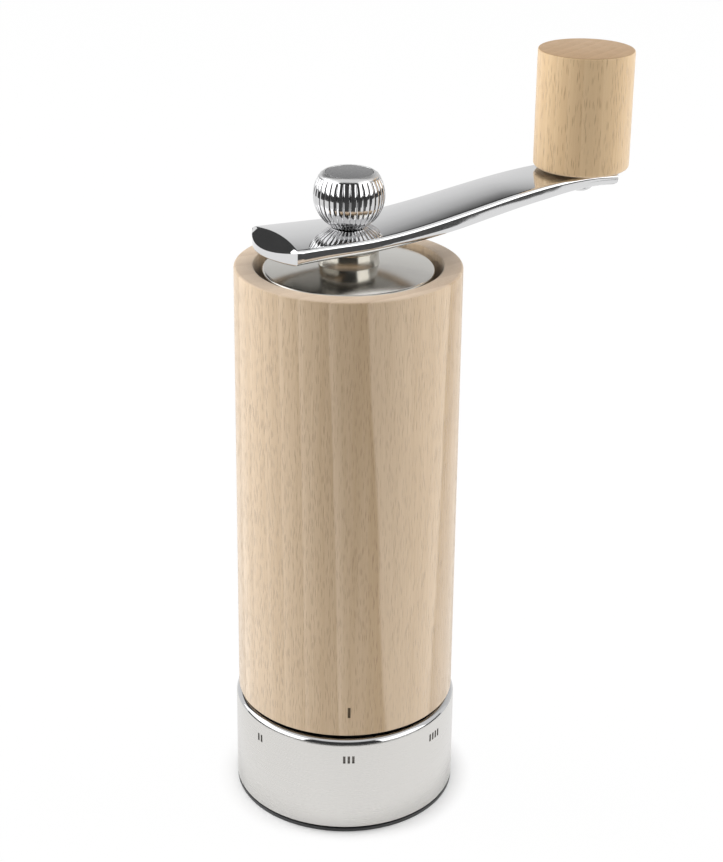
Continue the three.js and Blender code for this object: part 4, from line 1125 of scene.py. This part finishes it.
join(pale, blend_floor.outputs["Shader"], output.inputs["Surface"])
floor.data.materials.append(pale)

# %% World
world = bpy.data.worlds.new("studio")
bpy.context.scene.world = world
world.use_nodes = True
background = world.node_tree.nodes["Background"]
background.inputs["Color"].default_value = (1, 1, 1, 1)
path = add_node(world, "LightPath").outputs
seen = calculate(world, "MAXIMUM", path["Is Camera Ray"], path["Is Glossy Ray"])
seen_through = calculate(world, "MAXIMUM", seen, path["Is Transmission Ray"])
level = add_node(world, "MapRange", To_Min=0.45, To_Max=1.0)
join(world, seen_through, level.inputs["Value"])
join(world, level.outputs["Result"], background.inputs["Strength"])


# %% Lamps
def soft_box(name, place, aim, width, height, power):
    """A rectangular lamp at a place, turned to shine at a point."""
    clear_selection()
    bpy.ops.object.light_add(type="AREA", location=place)
    lamp = bpy.context.object
    lamp.name = name
    lamp.data.shape = "RECTANGLE"
    lamp.data.size = width
    lamp.data.size_y = height
    lamp.data.energy = power
    lamp.rotation_euler = (Vector(aim) - Vector(place)).to_track_quat("-Z", "Y").to_euler()
    lamp.visible_camera = False
    lamp.visible_glossy = False


VIEW_TURN = radians(-24.64)


def around(turn, height, distance):
    """A place at a turn to the right of the camera's side, in degrees, about the mill."""
    place = Vector((distance * sin(radians(turn)), -distance * cos(radians(turn)), height))
    return Matrix.Rotation(VIEW_TURN, 4, "Z") @ place + Vector((MILL_AXIS, 0, 0))


aim = (MILL_AXIS, 0, 0.11)
soft_box("left soft box", around(-105, 0.6, 0.9), aim, 0.9, 0.9, 12.0)
soft_box("right soft box", around(105, 0.6, 0.9), aim, 0.8, 0.9, 9.0)


# %% Cards
def card_finish(name, grey, glow):
    """A plain card, dark or glowing: a painted dark reflection or a painted highlight in the
    steel.
    """
    finish, shader = new_finish(name, (grey, grey, grey), 0.9)
    shader.inputs["Emission Color"].default_value = (1, 1, 1, 1)
    shader.inputs["Emission Strength"].default_value = glow
    return finish


def fading_finish(name, *stops):
    """A card that glows less from height to height, a painted reflection; each stop is (height in
    metres, glow).
    """
    finish = card_finish(name, 0.0, 1.0)
    shader = finish.node_tree.nodes["Principled BSDF"]
    height = split_place(finish, add_node(finish, "TexCoord").outputs["Object"])["Z"]
    end = stops[-1][0]
    share = calculate(finish, "MULTIPLY", height, 1 / end)
    glow = ramp(finish, share, *[(stop / end, level) for stop, level in stops])
    join(finish, glow, shader.inputs["Emission Strength"])
    return finish


def card(name, outline, first, last, finish):
    """A card bent round the mill from one turn to another, which only reflections see."""
    made = turned(outline, sides=24, closed=False, angle=radians(last - first))
    bpy.ops.transform.rotate(value=-(VIEW_TURN + radians(last - 90)), orient_axis="Z",
        center_override=(MILL_AXIS, 0, 0))
    made.name = name
    made.data.materials.append(finish)
    for ray in ("camera", "diffuse", "shadow", "transmission", "volume_scatter"):
        setattr(made, "visible_" + ray, False)


# Dark cards with a faint glow, seen only in reflections: painted dark reflections in the steel,
# casting no shadow.
DARK_REFLECTION = card_finish("dark reflection card", 0.012, 0.035)
REFLECTION_GLOW = card_finish("glowing reflection card", 0.8, 1.6)
FADING_REFLECTION_GLOW = fading_finish("fading reflection card", (0.0, 0.88), (0.35, 0.86), (0.6, 0.8), (0.8, 0.68),
    (1.0, 0.5), (1.15, 0.28), (1.35, 0.04))
FRONT, LOW, BACK = 1200, 1190, 1180  # how far the cards stand from the mill
EYE, TALL, FADED = 260, 1450, 1350  # where the low, the white and the fading cards end
card("front dark reflection card", [(FRONT, 5), (FRONT, 1500)], -40, 37, DARK_REFLECTION)
for name, start, first, last in [("floor dark reflection card", 150, -40, 40),
        ("right floor dark reflection card", 330, 40, 55), ("far right floor dark reflection card", 430, 55, 59),
        ("last right floor dark reflection card", 560, 59, 63), ("left floor dark reflection card", 690, -110, -40)]:
    card(name, [(start, 4), (FRONT, 4)], first, last, DARK_REFLECTION)
card("low dark reflection card", [(LOW, 5), (LOW, EYE)], -110, 110, DARK_REFLECTION)
# Glowing cards that only reflections see: painted highlights in the steel, lighting nothing.
card("left glowing reflection card", [(FRONT, EYE), (FRONT, TALL)], -122, -40, REFLECTION_GLOW)
card("back dark reflection card", [(BACK, 620), (BACK, 2500)], -168, -122, DARK_REFLECTION)
# A painted reflection that glows less upwards, mirrored by the arm's crowned top.
card("back fading reflection card", [(BACK, 5), (BACK, FADED)], 122, 192, FADING_REFLECTION_GLOW)
card("high back dark reflection card", [(BACK, FADED), (BACK, 2300)], 122, 192, DARK_REFLECTION)
card("right glowing reflection card", [(FRONT, EYE), (FRONT, TALL)], 37, 88, REFLECTION_GLOW)

# %% [markdown]
# ## The camera
# The photograph looks down at the mill by about 21 degrees, with the arm running to the right
# and away. Its picture is centred above the mill's middle, which the camera's shift gives.

# %% Camera
LOOK_DOWN = radians(20.98)
CAMERA_ROLL = radians(0.63)
CAMERA_PLACE = (-0.20145, -0.3956, 0.2916)
bpy.ops.object.camera_add()
camera = bpy.context.object
camera.data.lens = 79.1
camera.data.sensor_width = 36.0
camera.data.shift_y = -0.1139
camera.data.clip_start = 0.01
turn = Matrix.Rotation(VIEW_TURN, 4, "Z") @ Matrix.Rotation(pi / 2 - LOOK_DOWN, 4, "X")
turn = turn @ Matrix.Rotation(CAMERA_ROLL, 4, "Z")
camera.matrix_world = Matrix.Translation(CAMERA_PLACE) @ turn
bpy.context.scene.camera = camera
bpy.context.scene.view_settings.view_transform = "Standard"
